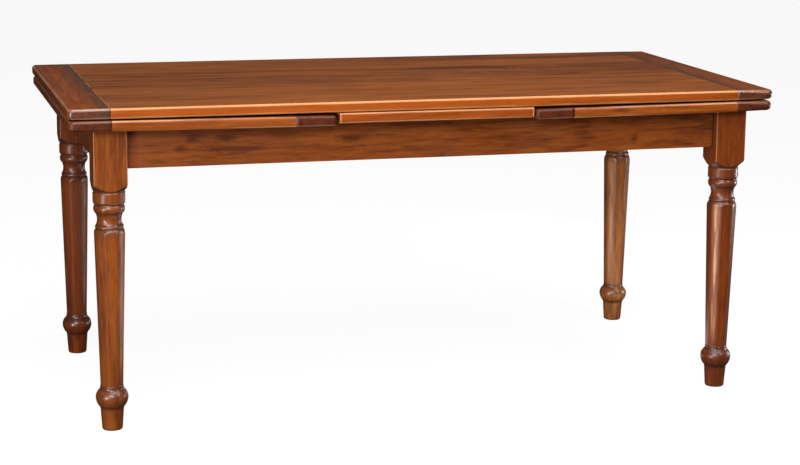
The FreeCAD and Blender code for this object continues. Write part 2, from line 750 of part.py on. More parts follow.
# Draw leaves
# Places of the bearer screws along a leaf, in its own frame
OUTER_SCREW_SHARE = 0.6
FIELD_SCREW_SHARES = (0.15, 0.85)
leaf_screw_places = [f"{OUTER_SCREW_SHARE} * end_board_width"]
leaf_screw_places += [f"(end_board_width + {share} * {leaf_field_length})" for share in FIELD_SCREW_SHARES]
leaf_screw_places.append(f"({leaf_length} - {OUTER_SCREW_SHARE} * end_board_width)")
leaf_screw_head = "(-board_thickness - leaf_screw_hold)"
closing_pin_z = (
    f"(-board_thickness - (bearer_depth - {bearer_slope} * ({leaf_length} - {closing_pin_x})) / 2)"
)
stop_pin_z = (
    f"(-board_thickness - bearer_depth - {bearer_slope} * ({stop_pin_x} - {leaf_length}) + stop_pin_cover)"
)
pin_length = "(bearer_thickness + 2 * stop_pin_reach)"


def bearer_body(name):
    """Parallel bar that falls inwards, its top planed level where it lies under the leaf."""
    body = new_body(name)
    outline = new_sketch(body, f"{name}_outline", "XZ_Plane")
    low = f"(-board_thickness - bearer_depth - {bearer_tail_drop})"
    draw_polygon(outline, [
        ("bearer_inset", f"(-board_thickness - bearer_depth + {bearer_slope} * ({leaf_length} - bearer_inset))"),
        (f"({bearer_end} - bearer_nose)", f"({low} + {bearer_slope} * bearer_nose)"),
        (bearer_end, f"({low} + bearer_nose)"),
        (bearer_end, f"(-board_thickness - {bearer_tail_drop})"),
        (leaf_length, "-board_thickness"),
        ("bearer_inset", "-board_thickness"),
    ])
    pad(body, f"{name}_pad", outline, "bearer_thickness")
    return body


for side in SIDES:
    leaf_screws = []
    leaf_holes = []
    stop_pins = []
    closing_pins = []
    for name, offset in BEARERS.items():
        tag = f"{side}_{name}"
        bearer_tools = []
        for number, place in enumerate(leaf_screw_places):
            spot = (side, place, offset, leaf_screw_head)
            leaf_screws.append(put_in_leaf(screw(f"{tag}_screw_{number}", "leaf_screw_length"), *spot))
            leaf_holes.append(put_in_leaf(screw(f"{tag}_hole_{number}", "leaf_screw_length"), *spot))
            well = cylinder(f"{tag}_well_{number}", "screw_head_diameter / 2", "bearer_depth")
            bearer_tools.append(put_in_leaf(well, side, place, offset, f"{leaf_screw_head} - bearer_depth"))
            bearer_tools.append(leaf_holes[-1])
        stop_pin = cylinder(f"{tag}_stop_pin", "stop_pin_diameter / 2", pin_length)
        stop_bore = cylinder(f"{tag}_stop_bore", "stop_pin_diameter / 2", pin_length)
        closing_pin = cylinder(f"{tag}_closing_pin", "closing_pin_diameter / 2", pin_length)
        closing_bore = cylinder(f"{tag}_closing_bore", "closing_pin_diameter / 2 + running_clearance", pin_length)
        for pin in (stop_pin, stop_bore):
            centred_on_y(put_in_leaf, pin, pin_length, stop_pin_x, offset, stop_pin_z, side)
        for pin in (closing_pin, closing_bore):
            centred_on_y(put_in_leaf, pin, pin_length, closing_pin_x, offset, closing_pin_z, side)
        stop_pins.append(stop_pin)
        closing_pins.append(closing_pin)
        bearer_tools += [stop_bore, closing_bore]
        bar = put_in_leaf(bearer_body(f"{tag}_bearer_body"), side, "0", offset, "0")
        bearer_bores = group(f"{tag}_bearer_bores", bearer_tools)
        keep(cut_from(bar, f"{side}_bearer_{name}", bearer_bores), f"{side}_bearer_{name}")
    leaf_bores = group(f"{side}_leaf_bores", leaf_holes)
    keep(group(f"{side}_bearer_screws", leaf_screws), f"{side}_bearer_screws")
    keep(group(f"{side}_opening_stop_pins", stop_pins), f"{side}_opening_stop_pins")
    keep(group(f"{side}_closing_stop_pins", closing_pins), f"{side}_closing_stop_pins")

    for number in range(1, board_count + 1):
        label = f"{side}_leaf_board_{number}"
        front = f"(-top_width / 2 + {number - 1} * {board_width})"
        reach = "screw_diameter / 2"
        low, high = value(f"{front} - {reach}"), value(f"{front} + {board_width} + tongue_width + {reach}")
        drilled = any(low < value(offset) < high for offset in BEARERS.values())
        body = long_board(f"{label}_body" if drilled else label, leaf_field_length, number > 1, number < board_count)
        put_in_leaf(body, side, f"{leaf_length} / 2", front, "-board_thickness / 2")
        keep(cut_from(body, label, leaf_bores) if drilled else body, label)
    ends = {"outer": ("end_board_width", HALF_TURN), "inner": (f"({leaf_length} - end_board_width)", UNTURNED)}
    for end, (seam, rotation) in ends.items():
        label = f"{side}_leaf_{end}_board"
        body = put_in_leaf(end_board(f"{label}_body"), side, seam, "0", "-board_thickness / 2", rotation)
        keep(cut_from(body, label, leaf_bores), label)

# Check every object, then write one file for each piece
doc.recompute()
for thing in doc.Objects:
    if "Invalid" in thing.State or "Error" in thing.State:
        raise RuntimeError(f"{thing.Label} did not compute: {thing.State}")
for label, piece in pieces.items():
    shape = piece.Shape
    if shape.isNull() or not shape.isValid() or not shape.Solids:
        raise RuntimeError(f"{label} has no valid solid")
    shape.exportStep(f"parts/{label}.step")
    print(f"{label}: {len(shape.Solids)} solid(s), {shape.Volume / 1000:.1f} cm3")
print(f"{len(pieces)} pieces written")
for name, expression in (("leg top", leg_top), ("apron relief", apron_relief), ("slot floor", slot_floor),
                         ("rail ceiling", rail_ceiling), ("leaf travel", leaf_travel),
                         ("closing pin x", closing_pin_x), ("closing pin z", closing_pin_z),
                         ("stop pin x", stop_pin_x), ("stop pin z", stop_pin_z)):
    print(f"{name}: {value(expression):.3f} mm")
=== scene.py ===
# %% [markdown]
# # An extending dining table, dressed for the camera
#
# The solid parts of the table come from the CAD model and stand where they belong. This
# lesson gives them what a solid can't have: the look of old lacquered hardwood. It also
# replaces the four turned legs and the six cross boards with finer surfaces, because
# turned and planed wood shows its whole craft in soft edges and in the dark wax that
# stays in the grooves.

# %% Load the frame
import json
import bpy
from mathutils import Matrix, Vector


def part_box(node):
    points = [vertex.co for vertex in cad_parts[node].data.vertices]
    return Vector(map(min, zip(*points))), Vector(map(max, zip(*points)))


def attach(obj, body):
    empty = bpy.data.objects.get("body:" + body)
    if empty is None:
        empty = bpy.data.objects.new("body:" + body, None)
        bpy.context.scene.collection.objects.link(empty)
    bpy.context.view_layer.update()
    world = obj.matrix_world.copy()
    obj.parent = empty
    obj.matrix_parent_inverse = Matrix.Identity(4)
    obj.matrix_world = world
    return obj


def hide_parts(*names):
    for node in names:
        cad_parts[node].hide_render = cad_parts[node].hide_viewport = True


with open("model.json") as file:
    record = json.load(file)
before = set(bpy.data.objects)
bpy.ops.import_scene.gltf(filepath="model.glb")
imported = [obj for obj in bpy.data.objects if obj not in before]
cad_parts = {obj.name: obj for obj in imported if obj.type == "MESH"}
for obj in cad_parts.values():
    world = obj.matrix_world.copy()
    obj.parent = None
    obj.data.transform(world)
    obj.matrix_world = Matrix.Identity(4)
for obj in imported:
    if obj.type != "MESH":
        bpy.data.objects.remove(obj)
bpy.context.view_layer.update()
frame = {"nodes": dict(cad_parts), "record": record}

from types import SimpleNamespace

import bpy
import numpy as np
from mathutils import Matrix

MM = 0.001

# %% [markdown]
# ## Colours
#
# A photograph gives colours as the screen shows them, and a shader wants them linear, so
# each colour below is written the screen's way and turned by one function. A stain goes
# deeper into open grain than into closed grain, so each finish has a dark, a middle and a
# light tone, and the two outer ones follow from the middle one.

# %% Colours of the finishes
MIDDLE_TONES = {
    "top_wood": (129, 69, 25),
    "top_edge": (143, 65, 10),
    "top_end_wood": (128, 61, 10),
    "top_end_edge": (86, 44, 22),
    "leaf_edge": (138, 67, 11),
    "leaf_wood": (140, 72, 28),
    "leaf_end_wood": (118, 60, 26),
    "leaf_end_edge": (80, 31, 10),
    "centre_wood": (143, 66, 10),
    "apron_wood": (120, 59, 17),
    # The legs are one wood; the back right leg's much lighter tone is painted light, for the
    # brighter light on that leg.
    "leg_front_left": (124, 60, 10),
    "leg_front_right": (113, 50, 10),
    "leg_back_right": (156, 93, 45),
    "leg_back_left": (111, 49, 10),
    "bearer_wood": (172, 120, 74),
    "dowel_wood": (190, 148, 104),
}
MARK_COLOURS = {
    "grime": (62, 46, 32),
    "pale_line": (204, 172, 146),
    "scratch": (206, 170, 140),
    # Painted shade, with some dirt, in the gap where the apron meets the legs.
    "joint": (40, 22, 12),
    "wax": (52, 33, 25),
}
# How far the dark and the light tone lie from the middle one in red, green and blue.
DARKER, LIGHTER = np.array([0.56, 0.64, 0.6]), np.array([0.42, 0.5, 0.6])


def screen_colour(red, green, blue):
    """Linear colour of a screen colour given as three numbers up to 255."""
    share = np.array([red, green, blue]) / 255.0
    linear = np.where(share <= 0.04045, share / 12.92, ((share + 0.055) / 1.055) ** 2.4)
    return (*[float(part) for part in linear], 1.0)


def stain(name, depth=1.0):
    """A finish's three tones; depth says how far the dark and the light one lie apart."""
    tone = np.array(screen_colour(*MIDDLE_TONES[name])[:3])
    tones = {"dark": tone * (1.0 - depth * DARKER), "middle": tone,
             "light": tone * (1.0 + depth * LIGHTER)}
    return {label: (*shade.tolist(), 1.0) for label, shade in tones.items()}


print(len(MIDDLE_TONES), "finishes and", len(MARK_COLOURS), "marks")

# %% [markdown]
# ## A bench for shader nodes
#
# Node trees built in code get long. A small helper that adds a node, feeds its sockets
# and returns what it puts out keeps each effect as short as a formula.


# %% Node helper
class Bench:
    """Short ways to add nodes to one tree and to join them."""

    def __init__(self, tree):
        self.tree = tree

    def feed(self, socket, thing):
        if isinstance(thing, bpy.types.NodeSocket):
            self.tree.links.new(thing, socket)
        else:
            socket.default_value = thing

    def add(self, kind, inputs=None, **settings):
        node = self.tree.nodes.new(kind)
        for name, setting in settings.items():
            setattr(node, name, setting)
        for name, thing in (inputs or {}).items():
            self.feed(node.inputs[name], thing)
        return node

    def group(self, tree, inputs):
        """Outputs of a node that stands for a group."""
        return self.add("ShaderNodeGroup", inputs, node_tree=tree).outputs

    def math(self, operation, *terms, clamp=False):
        node = self.add("ShaderNodeMath", operation=operation, use_clamp=clamp)
        for socket, term in zip(node.inputs, terms):
            self.feed(socket, term)
        return node.outputs[0]

    def times(self, first, second):
        return self.math("MULTIPLY", first, second)

    def plus(self, base, thing, amount):
        """Base plus a share of another value."""
        return self.math("ADD", base, self.times(thing, amount))

    def vector(self, operation, first, second):
        node = self.add("ShaderNodeVectorMath", operation=operation)
        self.feed(node.inputs[0], first)
        self.feed(node.inputs[1], second)
        return node.outputs["Value" if operation == "LENGTH" else "Vector"]

    def split(self, vector):
        node = self.add("ShaderNodeSeparateXYZ", {"Vector": vector})
        return node.outputs["X"], node.outputs["Y"], node.outputs["Z"]

    def fade(self, thing, start, end, low=0.0, high=1.0):
        """Smooth step of a value from start to end."""
        node = self.add("ShaderNodeMapRange", {"Value": thing, "From Min": start, "From Max": end,
                                               "To Min": low, "To Max": high},
                        interpolation_type="SMOOTHSTEP")
        return node.outputs["Result"]

    def noise(self, vector, scale=1.0, detail=2.0, roughness=0.5, distortion=0.0):
        node = self.add("ShaderNodeTexNoise", {"Vector": vector, "Scale": scale, "Detail": detail,
                                               "Roughness": roughness, "Distortion": distortion})
        return node.outputs["Fac"]

    def drawn_out(self, vector, along, across, detail=2.0, **shape):
        """Noise of so many spots per metre along X, and so many across it."""
        stretched = self.vector("MULTIPLY", vector, (along, across, across))
        return self.noise(stretched, detail=detail, **shape)

    def blend(self, factor, first, second):
        """Colour between two others."""
        node = self.add("ShaderNodeMix", data_type="RGBA")
        self.feed(node.inputs[0], factor)
        self.feed(node.inputs[6], first)
        self.feed(node.inputs[7], second)
        return node.outputs[2]


def cleared(block):
    """Bench on the emptied node tree of a material or a world."""
    block.use_nodes = True
    block.node_tree.nodes.clear()
    return Bench(block.node_tree)


ORIGIN = (0.0, 0.0, 0.0)


def new_group(name, **numbers):
    """Bench of a new shader group that is given a point and some numbers, and what it is given."""
    tree = bpy.data.node_groups.new(name, "ShaderNodeTree")
    for label, default in {"Vector": ORIGIN, **numbers}.items():
        kind = "NodeSocketVector" if isinstance(default, tuple) else "NodeSocketFloat"
        socket = tree.interface.new_socket(name=label, in_out="INPUT", socket_type=kind)
        socket.default_value = default
    bench = Bench(tree)
    return bench, bench.add("NodeGroupInput").outputs


def close_group(bench, **results):
    """The group of a bench, once it puts out the results under their names."""
    for label in results:
        kind = "NodeSocketVector" if label == "Vector" else "NodeSocketFloat"
        bench.tree.interface.new_socket(name=label, in_out="OUTPUT", socket_type=kind)
    bench.add("NodeGroupOutput", results)
    print("group", bench.tree.name)
    return bench.tree


print("bench ready")

# %% [markdown]
# ## What makes wood look like wood
#
# A board is a slice of a tree. Growth rings are thin cylinders round the heart of the
# trunk, so a flat cut through them shows long arches. Painting those arches would need a
# new picture for every board; working out the distance from the heart at each point of
# the solid gives them to every face at once, and the end grain fits the long grain.
# Longer and softer streaks of colour, fine fibres and small pores lie over the rings.

# %% Group: growth rings, streaks, fibres and pores
TRUNK_LEAN = 0.03
# How far a slow and a quick noise push the rings out of their circles, in metres.
SWAY, RIPPLE = 0.055, 0.007

bench, given = new_group("wood_figure", Ring_Width=0.007, Heart=(0.0, 0.02, -0.09))
point = given["Vector"]
slow = bench.drawn_out(point, 0.8, 4.2)
quick = bench.drawn_out(point, 5.0, 34.0, 3.0, roughness=0.6)
along, across, up = bench.split(bench.vector("SUBTRACT", point, given["Heart"]))
leaning = bench.plus(across, along, TRUNK_LEAN)
squares = [bench.math("POWER", part, 2.0) for part in (leaning, up)]
distance = bench.math("SQRT", bench.math("ADD", *squares))
wandering = bench.plus(bench.plus(distance, slow, SWAY), quick, RIPPLE)
turns = bench.math("DIVIDE", wandering, given["Ring_Width"])
saw = bench.math("FRACT", turns)
each_year = bench.add("ShaderNodeTexWhiteNoise", {"W": bench.math("FLOOR", turns)},
                      noise_dimensions="1D")
strong = bench.fade(each_year.outputs["Value"], 0.0, 1.0, 0.25, 1.0)
dark_ring = bench.times(bench.fade(saw, 0.25, 0.8), bench.fade(saw, 1.0, 0.84))
rings = bench.math("SUBTRACT", 1.0, bench.times(dark_ring, strong))
long_streaks = bench.drawn_out(point, 1.1, 20.0, 4.0, roughness=0.6, distortion=0.4)
short_streaks = bench.drawn_out(point, 6.5, 75.0, 5.0, roughness=0.68, distortion=0.8)
streaks = bench.plus(bench.times(long_streaks, 0.4), short_streaks, 0.6)
wood_figure = close_group(
    bench, Rings=rings, Streaks=bench.fade(streaks, 0.33, 0.67),
    Fibres=bench.drawn_out(point, 9.0, 520.0),
    Pores=bench.fade(bench.drawn_out(point, 55.0, 900.0, 1.0), 0.62, 0.72))

# %% [markdown]
# ## One board beside the next
#
# Glued boards come from different planks, so each has its own rings and its own tone.
# The board's number is worked out from how far across the table a point lies, and a
# noise that is white from number to number shifts the figure and the tone.

# %% Group: which board a point is on
# How far the figure may move from board to board along the grain, across it and in depth.
BOARD_SHIFT = (7.0, 0.35, 0.06)

bench, given = new_group("board_by_board", Board_Width=0.12, First_Edge=-0.42)
from_edge = bench.math("SUBTRACT", bench.split(given["Vector"])[1], given["First_Edge"])
number = bench.math("FLOOR", bench.math("DIVIDE", from_edge, given["Board_Width"]))
chance = bench.add("ShaderNodeTexWhiteNoise", {"W": bench.math("ADD", number, 0.5)},
                   noise_dimensions="1D")
shift = bench.vector("MULTIPLY", chance.outputs["Color"], BOARD_SHIFT)
board_by_board = close_group(bench, Vector=bench.vector("ADD", given["Vector"], shift),
                             Tone=chance.outputs["Value"])

# %% [markdown]
# ## Pale edges: wear and a painted highlight
#
# Hands and cloths rub the lacquer thin on the long edges of a top, and the pale colour
# laid along an edge is also a painted highlight of the light that the rounded arris
# catches. An edge is where two faces of the box round a piece are near at once: of the
# three distances from a point to the faces, the middle one is small there.

# %% Group: pale edges, wear and painted highlight
bench, given = new_group("arris_rub_and_sheen", Centre=ORIGIN, Half_Size=(1.0, 1.0, 1.0), Width=0.006)
offset = bench.add("ShaderNodeVectorMath", operation="ABSOLUTE")
bench.feed(offset.inputs[0], bench.vector("SUBTRACT", given["Vector"], given["Centre"]))
x, y, z = bench.split(bench.vector("SUBTRACT", given["Half_Size"], offset.outputs["Vector"]))
middle = bench.math("MAXIMUM", bench.math("MINIMUM", x, y),
                    bench.math("MINIMUM", bench.math("MAXIMUM", x, y), z))
uneven = bench.noise(given["Vector"], 9.0, 4.0)
width = bench.times(given["Width"], bench.plus(0.4, uneven, 1.2))
near = bench.math("DIVIDE", middle, width)
arris_rub_and_sheen = close_group(bench, Mask=bench.fade(near, 1.0, 0.35))

# %% [markdown]
# ## Knots
#
# A knot is a branch that the trunk grew round: a dark eye with a ring. A cell pattern
# scatters points in the wood, and only a few cells are allowed to hold a knot.

# %% Group: knots
bench, given = new_group("knots", Spacing=0.16, Share=0.3)
squeezed = bench.vector("MULTIPLY", given["Vector"], (0.45, 1.0, 1.0))
per_metre = bench.math("DIVIDE", 1.0, given["Spacing"])
cells = bench.add("ShaderNodeTexVoronoi", {"Vector": squeezed, "Scale": per_metre}, feature="F1")
allowed = bench.math("LESS_THAN", bench.split(cells.outputs["Color"])[0], given["Share"])
eye = bench.fade(cells.outputs["Distance"], 0.085, 0.03)
halo = bench.times(bench.fade(cells.outputs["Distance"], 0.22, 0.08), 0.35)
knots = close_group(bench, Mask=bench.times(bench.math("MAXIMUM", eye, halo), allowed))

# %% [markdown]
# ## One knot in its place
#
# The photograph shows a few knots clearly, and chance would put them elsewhere. This
# group darkens the wood round one chosen point: the distance is divided by a radius of
# its own along each direction, and a fine noise frays the rim as torn fibres do.

# %% Group: one knot in its place
KNOT_DEPTH = 0.02
bench, given = new_group("knot_spot", Middle=ORIGIN, Radii=(0.01, KNOT_DEPTH, 0.006))
rough_edge = bench.math("SUBTRACT", bench.noise(given["Vector"], 160.0), 0.5)
offset = bench.vector("SUBTRACT", given["Vector"], given["Middle"])
away = bench.vector("LENGTH", bench.vector("DIVIDE", offset, given["Radii"]), ORIGIN)
away = bench.plus(away, rough_edge, 1.2)
eye, halo = bench.fade(away, 1.0, 0.5, 0.0, 0.3), bench.fade(away, 2.2, 1.0, 0.0, 0.2)
knot_spot = close_group(bench, Mask=bench.math("ADD", eye, halo))

# %% [markdown]
# ## Lacquered wood
#
# Every visible piece is stained hardwood under a satin lacquer. The pieces differ only in
# stain, grain direction and wear, so one list of settings describes a plain wood, and
# each wood says what it changes. The colour runs from dark to light along the figure.

# %% Settings and figure of a wood
# Lengths are in metres, and an amount of 0 leaves its mark out.
PLAIN_WOOD = {
    "grain": "x",  # axis that the grain runs along
    "heart": (0.0, 0.02, 0.69),  # a point in the middle of the trunk
    "ring_width": 0.007,
    "ring_amount": 0.15,  # share of the rings in the figure
    "fineness": 1.0,  # how much finer the whole figure is
    "boards": 0.0,  # width of the boards that change the figure
    "cloud": 0.4,  # strength of the slow changes of tone
    "dashes": 0.0,  # darkness of short strokes in the grain
    "dash_size": (5.0, 60.0),  # strokes per metre along the grain and across it
    "knot_share": 0.1,  # share of the cells that hold a knot
    "knot_spots": (),  # middle and radii of each knot that has its place
    "edge_stains": None,  # tones of the faces that look along Y
    "seam": None,  # x of an end board's seam, with its grime and pale line
    "scuffs": 0.0,  # strength of the scratches
    "worn_box": None,  # centre and half size of the box whose edges get wear and a painted highlight
    "worn_width": 0.006,
    "worn_amount": 0.5,  # strength of the pale edges, wear and painted highlight
    "worn_stain": (226, 168, 122),  # colour of the pale edges, wear and painted highlight
    "joint_x": None,  # x where a dark line of painted shade, with some dirt, lies beside the legs
    "wax": False,  # whether the mesh says where it is waxed, and where wear and a painted highlight make it pale
    "roughness": 0.38,
    "coat": 0.3,  # weight of the lacquer
    "relief": 0.16,  # strength of the grain's relief
    "seed": 0.0,  # takes the wood from another part of the tree
}
# How much the streaks and rings, the fibres, a board's own tone and the pores weigh.
FIGURE_SHARE, FIBRE_SHARE, TONE_SHARE, PORE_SHARE = 0.6, 0.12, 0.2, 0.12
DARKEST_VALUE = 0.05
GRAIN_TURNS = {"x": ORIGIN, "y": (0.0, 0.0, -np.pi / 2), "z": (0.0, np.pi / 2, 0.0)}
SEED_STEP = 1.7


def wood_value(bench, here, wood):
    """How light the wood is from 0 to 1, the outputs of its figure, and the mask of its knots."""
    turn = bench.add("ShaderNodeMapping", {"Vector": here, "Rotation": GRAIN_TURNS[wood.grain],
                                           "Location": (wood.seed * SEED_STEP, 0.0, 0.0)})
    point, tone = turn.outputs["Vector"], 0.5
    if wood.boards:
        board = bench.group(board_by_board, {"Vector": point, "Board_Width": wood.boards})
        point, tone = board["Vector"], board["Tone"]
    point = bench.vector("MULTIPLY", point, (wood.fineness, wood.fineness, wood.fineness))
    figure = bench.group(wood_figure, {"Vector": point, "Ring_Width": wood.ring_width,
                                       "Heart": wood.heart})
    eyes = bench.group(knots, {"Vector": point, "Share": wood.knot_share})["Mask"]
    cloudy = bench.drawn_out(point, 1.6, 5.0, 4.0, roughness=0.6)
    half_rings = wood.ring_amount / 2
    value = bench.times(figure["Rings"], wood.ring_amount)
    value = bench.plus(value, figure["Streaks"], FIGURE_SHARE - half_rings)
    value = bench.math("ADD", value, DARKEST_VALUE - half_rings)
    value = bench.plus(value, figure["Fibres"], FIBRE_SHARE)
    value = bench.plus(value, bench.math("SUBTRACT", tone, 0.5), TONE_SHARE)
    value = bench.plus(value, bench.math("SUBTRACT", cloudy, 0.5), wood.cloud)
    marks = bench.plus(eyes, figure["Pores"], PORE_SHARE)
    if wood.dashes:
        stroke = bench.drawn_out(point, *wood.dash_size, 3.0, roughness=0.55)
        marks = bench.plus(marks, bench.fade(stroke, 0.54, 0.64), wood.dashes)
    for middle, (long, wide) in wood.knot_spots:
        spot = bench.group(knot_spot, {"Vector": here, "Middle": middle,
                                       "Radii": (long, KNOT_DEPTH, wide)})
        marks = bench.math("ADD", marks, spot["Mask"])
    return bench.math("SUBTRACT", value, marks, clamp=True), figure, eyes


def colour_along(bench, value, tones):
    """Colour that goes from dark through middle to light with the value."""
    ramp = bench.add("ShaderNodeValToRGB", {"Fac": value})
    first, last = ramp.color_ramp.elements
    first.position, first.color = 0.08, tones["dark"]
    last.position, last.color = 0.95, tones["light"]
    ramp.color_ramp.elements.new(0.5).color = tones["middle"]
    return ramp.outputs["Color"]


print(len(PLAIN_WOOD), "settings of a wood")

# %% [markdown]
# ## What use and age leave, and painted light
#
# Dust and old polish stay beside the seams, and the lacquer is scratched and thinned by
# rubbing. The pale edges carry a painted highlight as well as wear, and a dark line of
# painted shade, with some dirt, lies where a board meets the legs. Each of these is a small
# function that lays its own colour over the colour below. The legs carry two numbers at
# every point of their mesh, for the wax in their grooves and for their pale corners and
# flat, which are wear and a painted highlight.


# %% Functions: marks of age, painted highlights and painted shade
def past(bench, here, x):
    """How much farther out than a cross plane at x, or at minus x, a point lies."""
    return bench.math("SUBTRACT", bench.math("ABSOLUTE", bench.split(here)[0]), x)


def lay_over(bench, colour, mask, strength, mark):
    """A mark's colour over another colour."""
    return bench.blend(bench.times(mask, strength), colour, screen_colour(*MARK_COLOURS[mark]))


def seam_marks(bench, colour, here, facing, seam):
    """Grime beside both end seams, and a broken pale line on top of the left one."""
    beside = bench.fade(past(bench, here, seam), 0.05, 0.0)
    uneven = bench.fade(bench.noise(here, 7.0, 3.0), 0.3, 0.55)
    colour = lay_over(bench, colour, bench.times(beside, uneven), 0.75, "grime")
    leftwards = bench.times(bench.split(here)[0], -1.0)
    from_line = bench.math("ABSOLUTE", bench.math("SUBTRACT", leftwards, seam))
    broken = bench.fade(bench.noise(here, 17.0), 0.38, 0.5)
    line = bench.times(bench.fade(from_line, 0.002, 0.0008), broken)
    on_top = bench.fade(bench.split(facing)[2], 0.7, 0.95, 0.0, 0.55)
    return lay_over(bench, colour, line, on_top, "pale_line")


def scratches(bench, colour, here, strength):
    """Short pale scratches in a few patches."""
    scratch = bench.fade(bench.drawn_out(here, 26.0, 150.0), 0.71, 0.76)
    patch = bench.fade(bench.noise(here, 3.3), 0.5, 0.62)
    return lay_over(bench, colour, bench.times(scratch, patch), strength, "scratch")


def pale_arrises(bench, colour, here, wood):
    """Pale edges of a box: thin lacquer, and a highlight painted on the arris."""
    centre, half_size = wood.worn_box
    arris_mask = bench.group(arris_rub_and_sheen, {"Vector": here, "Centre": centre, "Half_Size": half_size,
                                   "Width": wood.worn_width})
    # The pale edge colour is partly wear and partly a painted highlight on the arris.
    rub_and_sheen = bench.times(arris_mask["Mask"], wood.worn_amount)
    return bench.blend(rub_and_sheen, colour, screen_colour(*wood.worn_stain))


def gap_shade_line(bench, colour, here, joint_x):
    """Dark line of painted shade, with some dirt, where a board meets the legs."""
    line = bench.fade(bench.math("ABSOLUTE", past(bench, here, joint_x)), 0.006, 0.002, 0.0, 0.85)
    return bench.blend(line, colour, screen_colour(*MARK_COLOURS["joint"]))


def wax_rub_and_sheen(bench, colour, here, worn_stain):
    """Pale corners and a pale flat, wear with a painted highlight, and dark wax in the grooves,
    where the mesh's own numbers put them.
    """
    rub_and_sheen = bench.add("ShaderNodeAttribute", attribute_name="rub_and_sheen").outputs["Fac"]
    upright = bench.noise(bench.vector("MULTIPLY", here, (150.0, 150.0, 11.0)), detail=3.0)
    rub_and_sheen = bench.times(rub_and_sheen, bench.fade(upright, 0.36, 0.6, 0.08, 0.34))
    colour = bench.blend(rub_and_sheen, colour, screen_colour(*worn_stain))
    waxed = bench.add("ShaderNodeAttribute", attribute_name="wax").outputs["Fac"]
    smear = bench.fade(bench.noise(here, 70.0, 3.0), 0.2, 0.7, 0.55, 1.0)
    return lay_over(bench, colour, waxed, smear, "wax")


def weathered_and_lit(bench, colour, here, facing, wood):
    """The colour under all the marks that a wood's settings ask for."""
    if wood.seam is not None:
        colour = seam_marks(bench, colour, here, facing, wood.seam)
    if wood.scuffs:
        colour = scratches(bench, colour, here, wood.scuffs)
    if wood.worn_box:
        colour = pale_arrises(bench, colour, here, wood)
    if wood.joint_x is not None:
        colour = gap_shade_line(bench, colour, here, wood.joint_x)
    if wood.wax:
        colour = wax_rub_and_sheen(bench, colour, here, wood.worn_stain)
    return colour


print("marks of age ready")

# %% [markdown]
# ## The lacquer
#
# A satin lacquer is a clear film over wood that stays a little rough below. It is the
# shader's own coat, so it shines evenly, while hands have left it duller in places and
# the fibres and rings of the wood give it a faint relief.

# %% Function: a wood material
LACQUER = {"Specular IOR Level": 0.3, "Coat Roughness": 0.22, "Coat IOR": 1.5}
RELIEF_DEPTH = 0.0006


def make_wood(name, tones, **changes):
    """Lacquered wood: the plain wood with some of its settings changed."""
    wood = SimpleNamespace(**{**PLAIN_WOOD, **changes})
    material = bpy.data.materials.new(name)
    bench = cleared(material)
    place = bench.add("ShaderNodeTexCoord").outputs
    here, facing = place["Object"], place["Normal"]
    value, figure, eyes = wood_value(bench, here, wood)
    colour = colour_along(bench, value, tones)
    if wood.edge_stains:
        side = bench.fade(bench.math("ABSOLUTE", bench.split(facing)[1]), 0.35, 0.8)
        colour = bench.blend(side, colour, colour_along(bench, value, wood.edge_stains))
    colour = weathered_and_lit(bench, colour, here, facing, wood)
    smudge = bench.noise(here, 7.0, 4.0, 0.6)
    rough = bench.fade(smudge, 0.25, 0.75, wood.roughness - 0.05, wood.roughness + 0.09)
    rough = bench.plus(rough, eyes, 0.1)
    height = bench.times(figure["Fibres"], 0.35)
    height = bench.plus(height, figure["Rings"], 0.5)
    height = bench.plus(height, figure["Pores"], -0.6)
    bump = bench.add("ShaderNodeBump", {"Height": height, "Strength": wood.relief,
                                        "Distance": RELIEF_DEPTH})
    shader = bench.add("ShaderNodeBsdfPrincipled", {
        "Base Color": colour, "Roughness": rough, "Normal": bump.outputs["Normal"],
        "Coat Weight": wood.coat, **LACQUER})
    bench.add("ShaderNodeOutputMaterial", {"Surface": shader.outputs["BSDF"]})
    return material


print("lacquer ready")

# %% [markdown]
# ## Stains of the pieces
#
# The top's boards are reddish brown on the face, but their edges took the stain less and
# glow honey orange. The boards across the ends are darker, with their grain running
# along them, so the figure turns a corner at the pale seam.

# %% Wood materials
# Middle of each knot that the photograph shows, and its radii along the board and up, in metres.
APRON_KNOTS = [
    ((-0.582, -0.371, 0.691), (0.012, 0.007)),
    ((-0.61, -0.371, 0.669), (0.011, 0.005)),
    ((-0.504, -0.371, 0.689), (0.018, 0.006)),
    ((-0.2, -0.371, 0.681), (0.028, 0.007)),
    ((-0.476, -0.371, 0.664), (0.05, 0.004)),
    ((0.523, -0.371, 0.654), (0.007, 0.008)),
]
LEAF_KNOTS = [((0.471, -0.42, 0.737), (0.014, 0.007))]
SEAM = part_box("right_top_end_board")[0].x
APRON_FIGURE = {"ring_width": 0.012, "ring_amount": 0.25, "fineness": 1.8, "knot_share": 0.2,
                "dashes": 0.14, "dash_size": (7.0, 60.0)}


def slot_box(slot):
    """Centre and half size of the box round all CAD nodes of one material slot."""
    parts = [part for part in frame["record"]["subparts"] if part["material_slot"] == slot]
    corners = np.array([[list(corner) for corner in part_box(part["node"])] for part in parts])
    low, high = corners[:, 0].min(axis=0), corners[:, 1].max(axis=0)
    return (low + high) / 2, (high - low) / 2


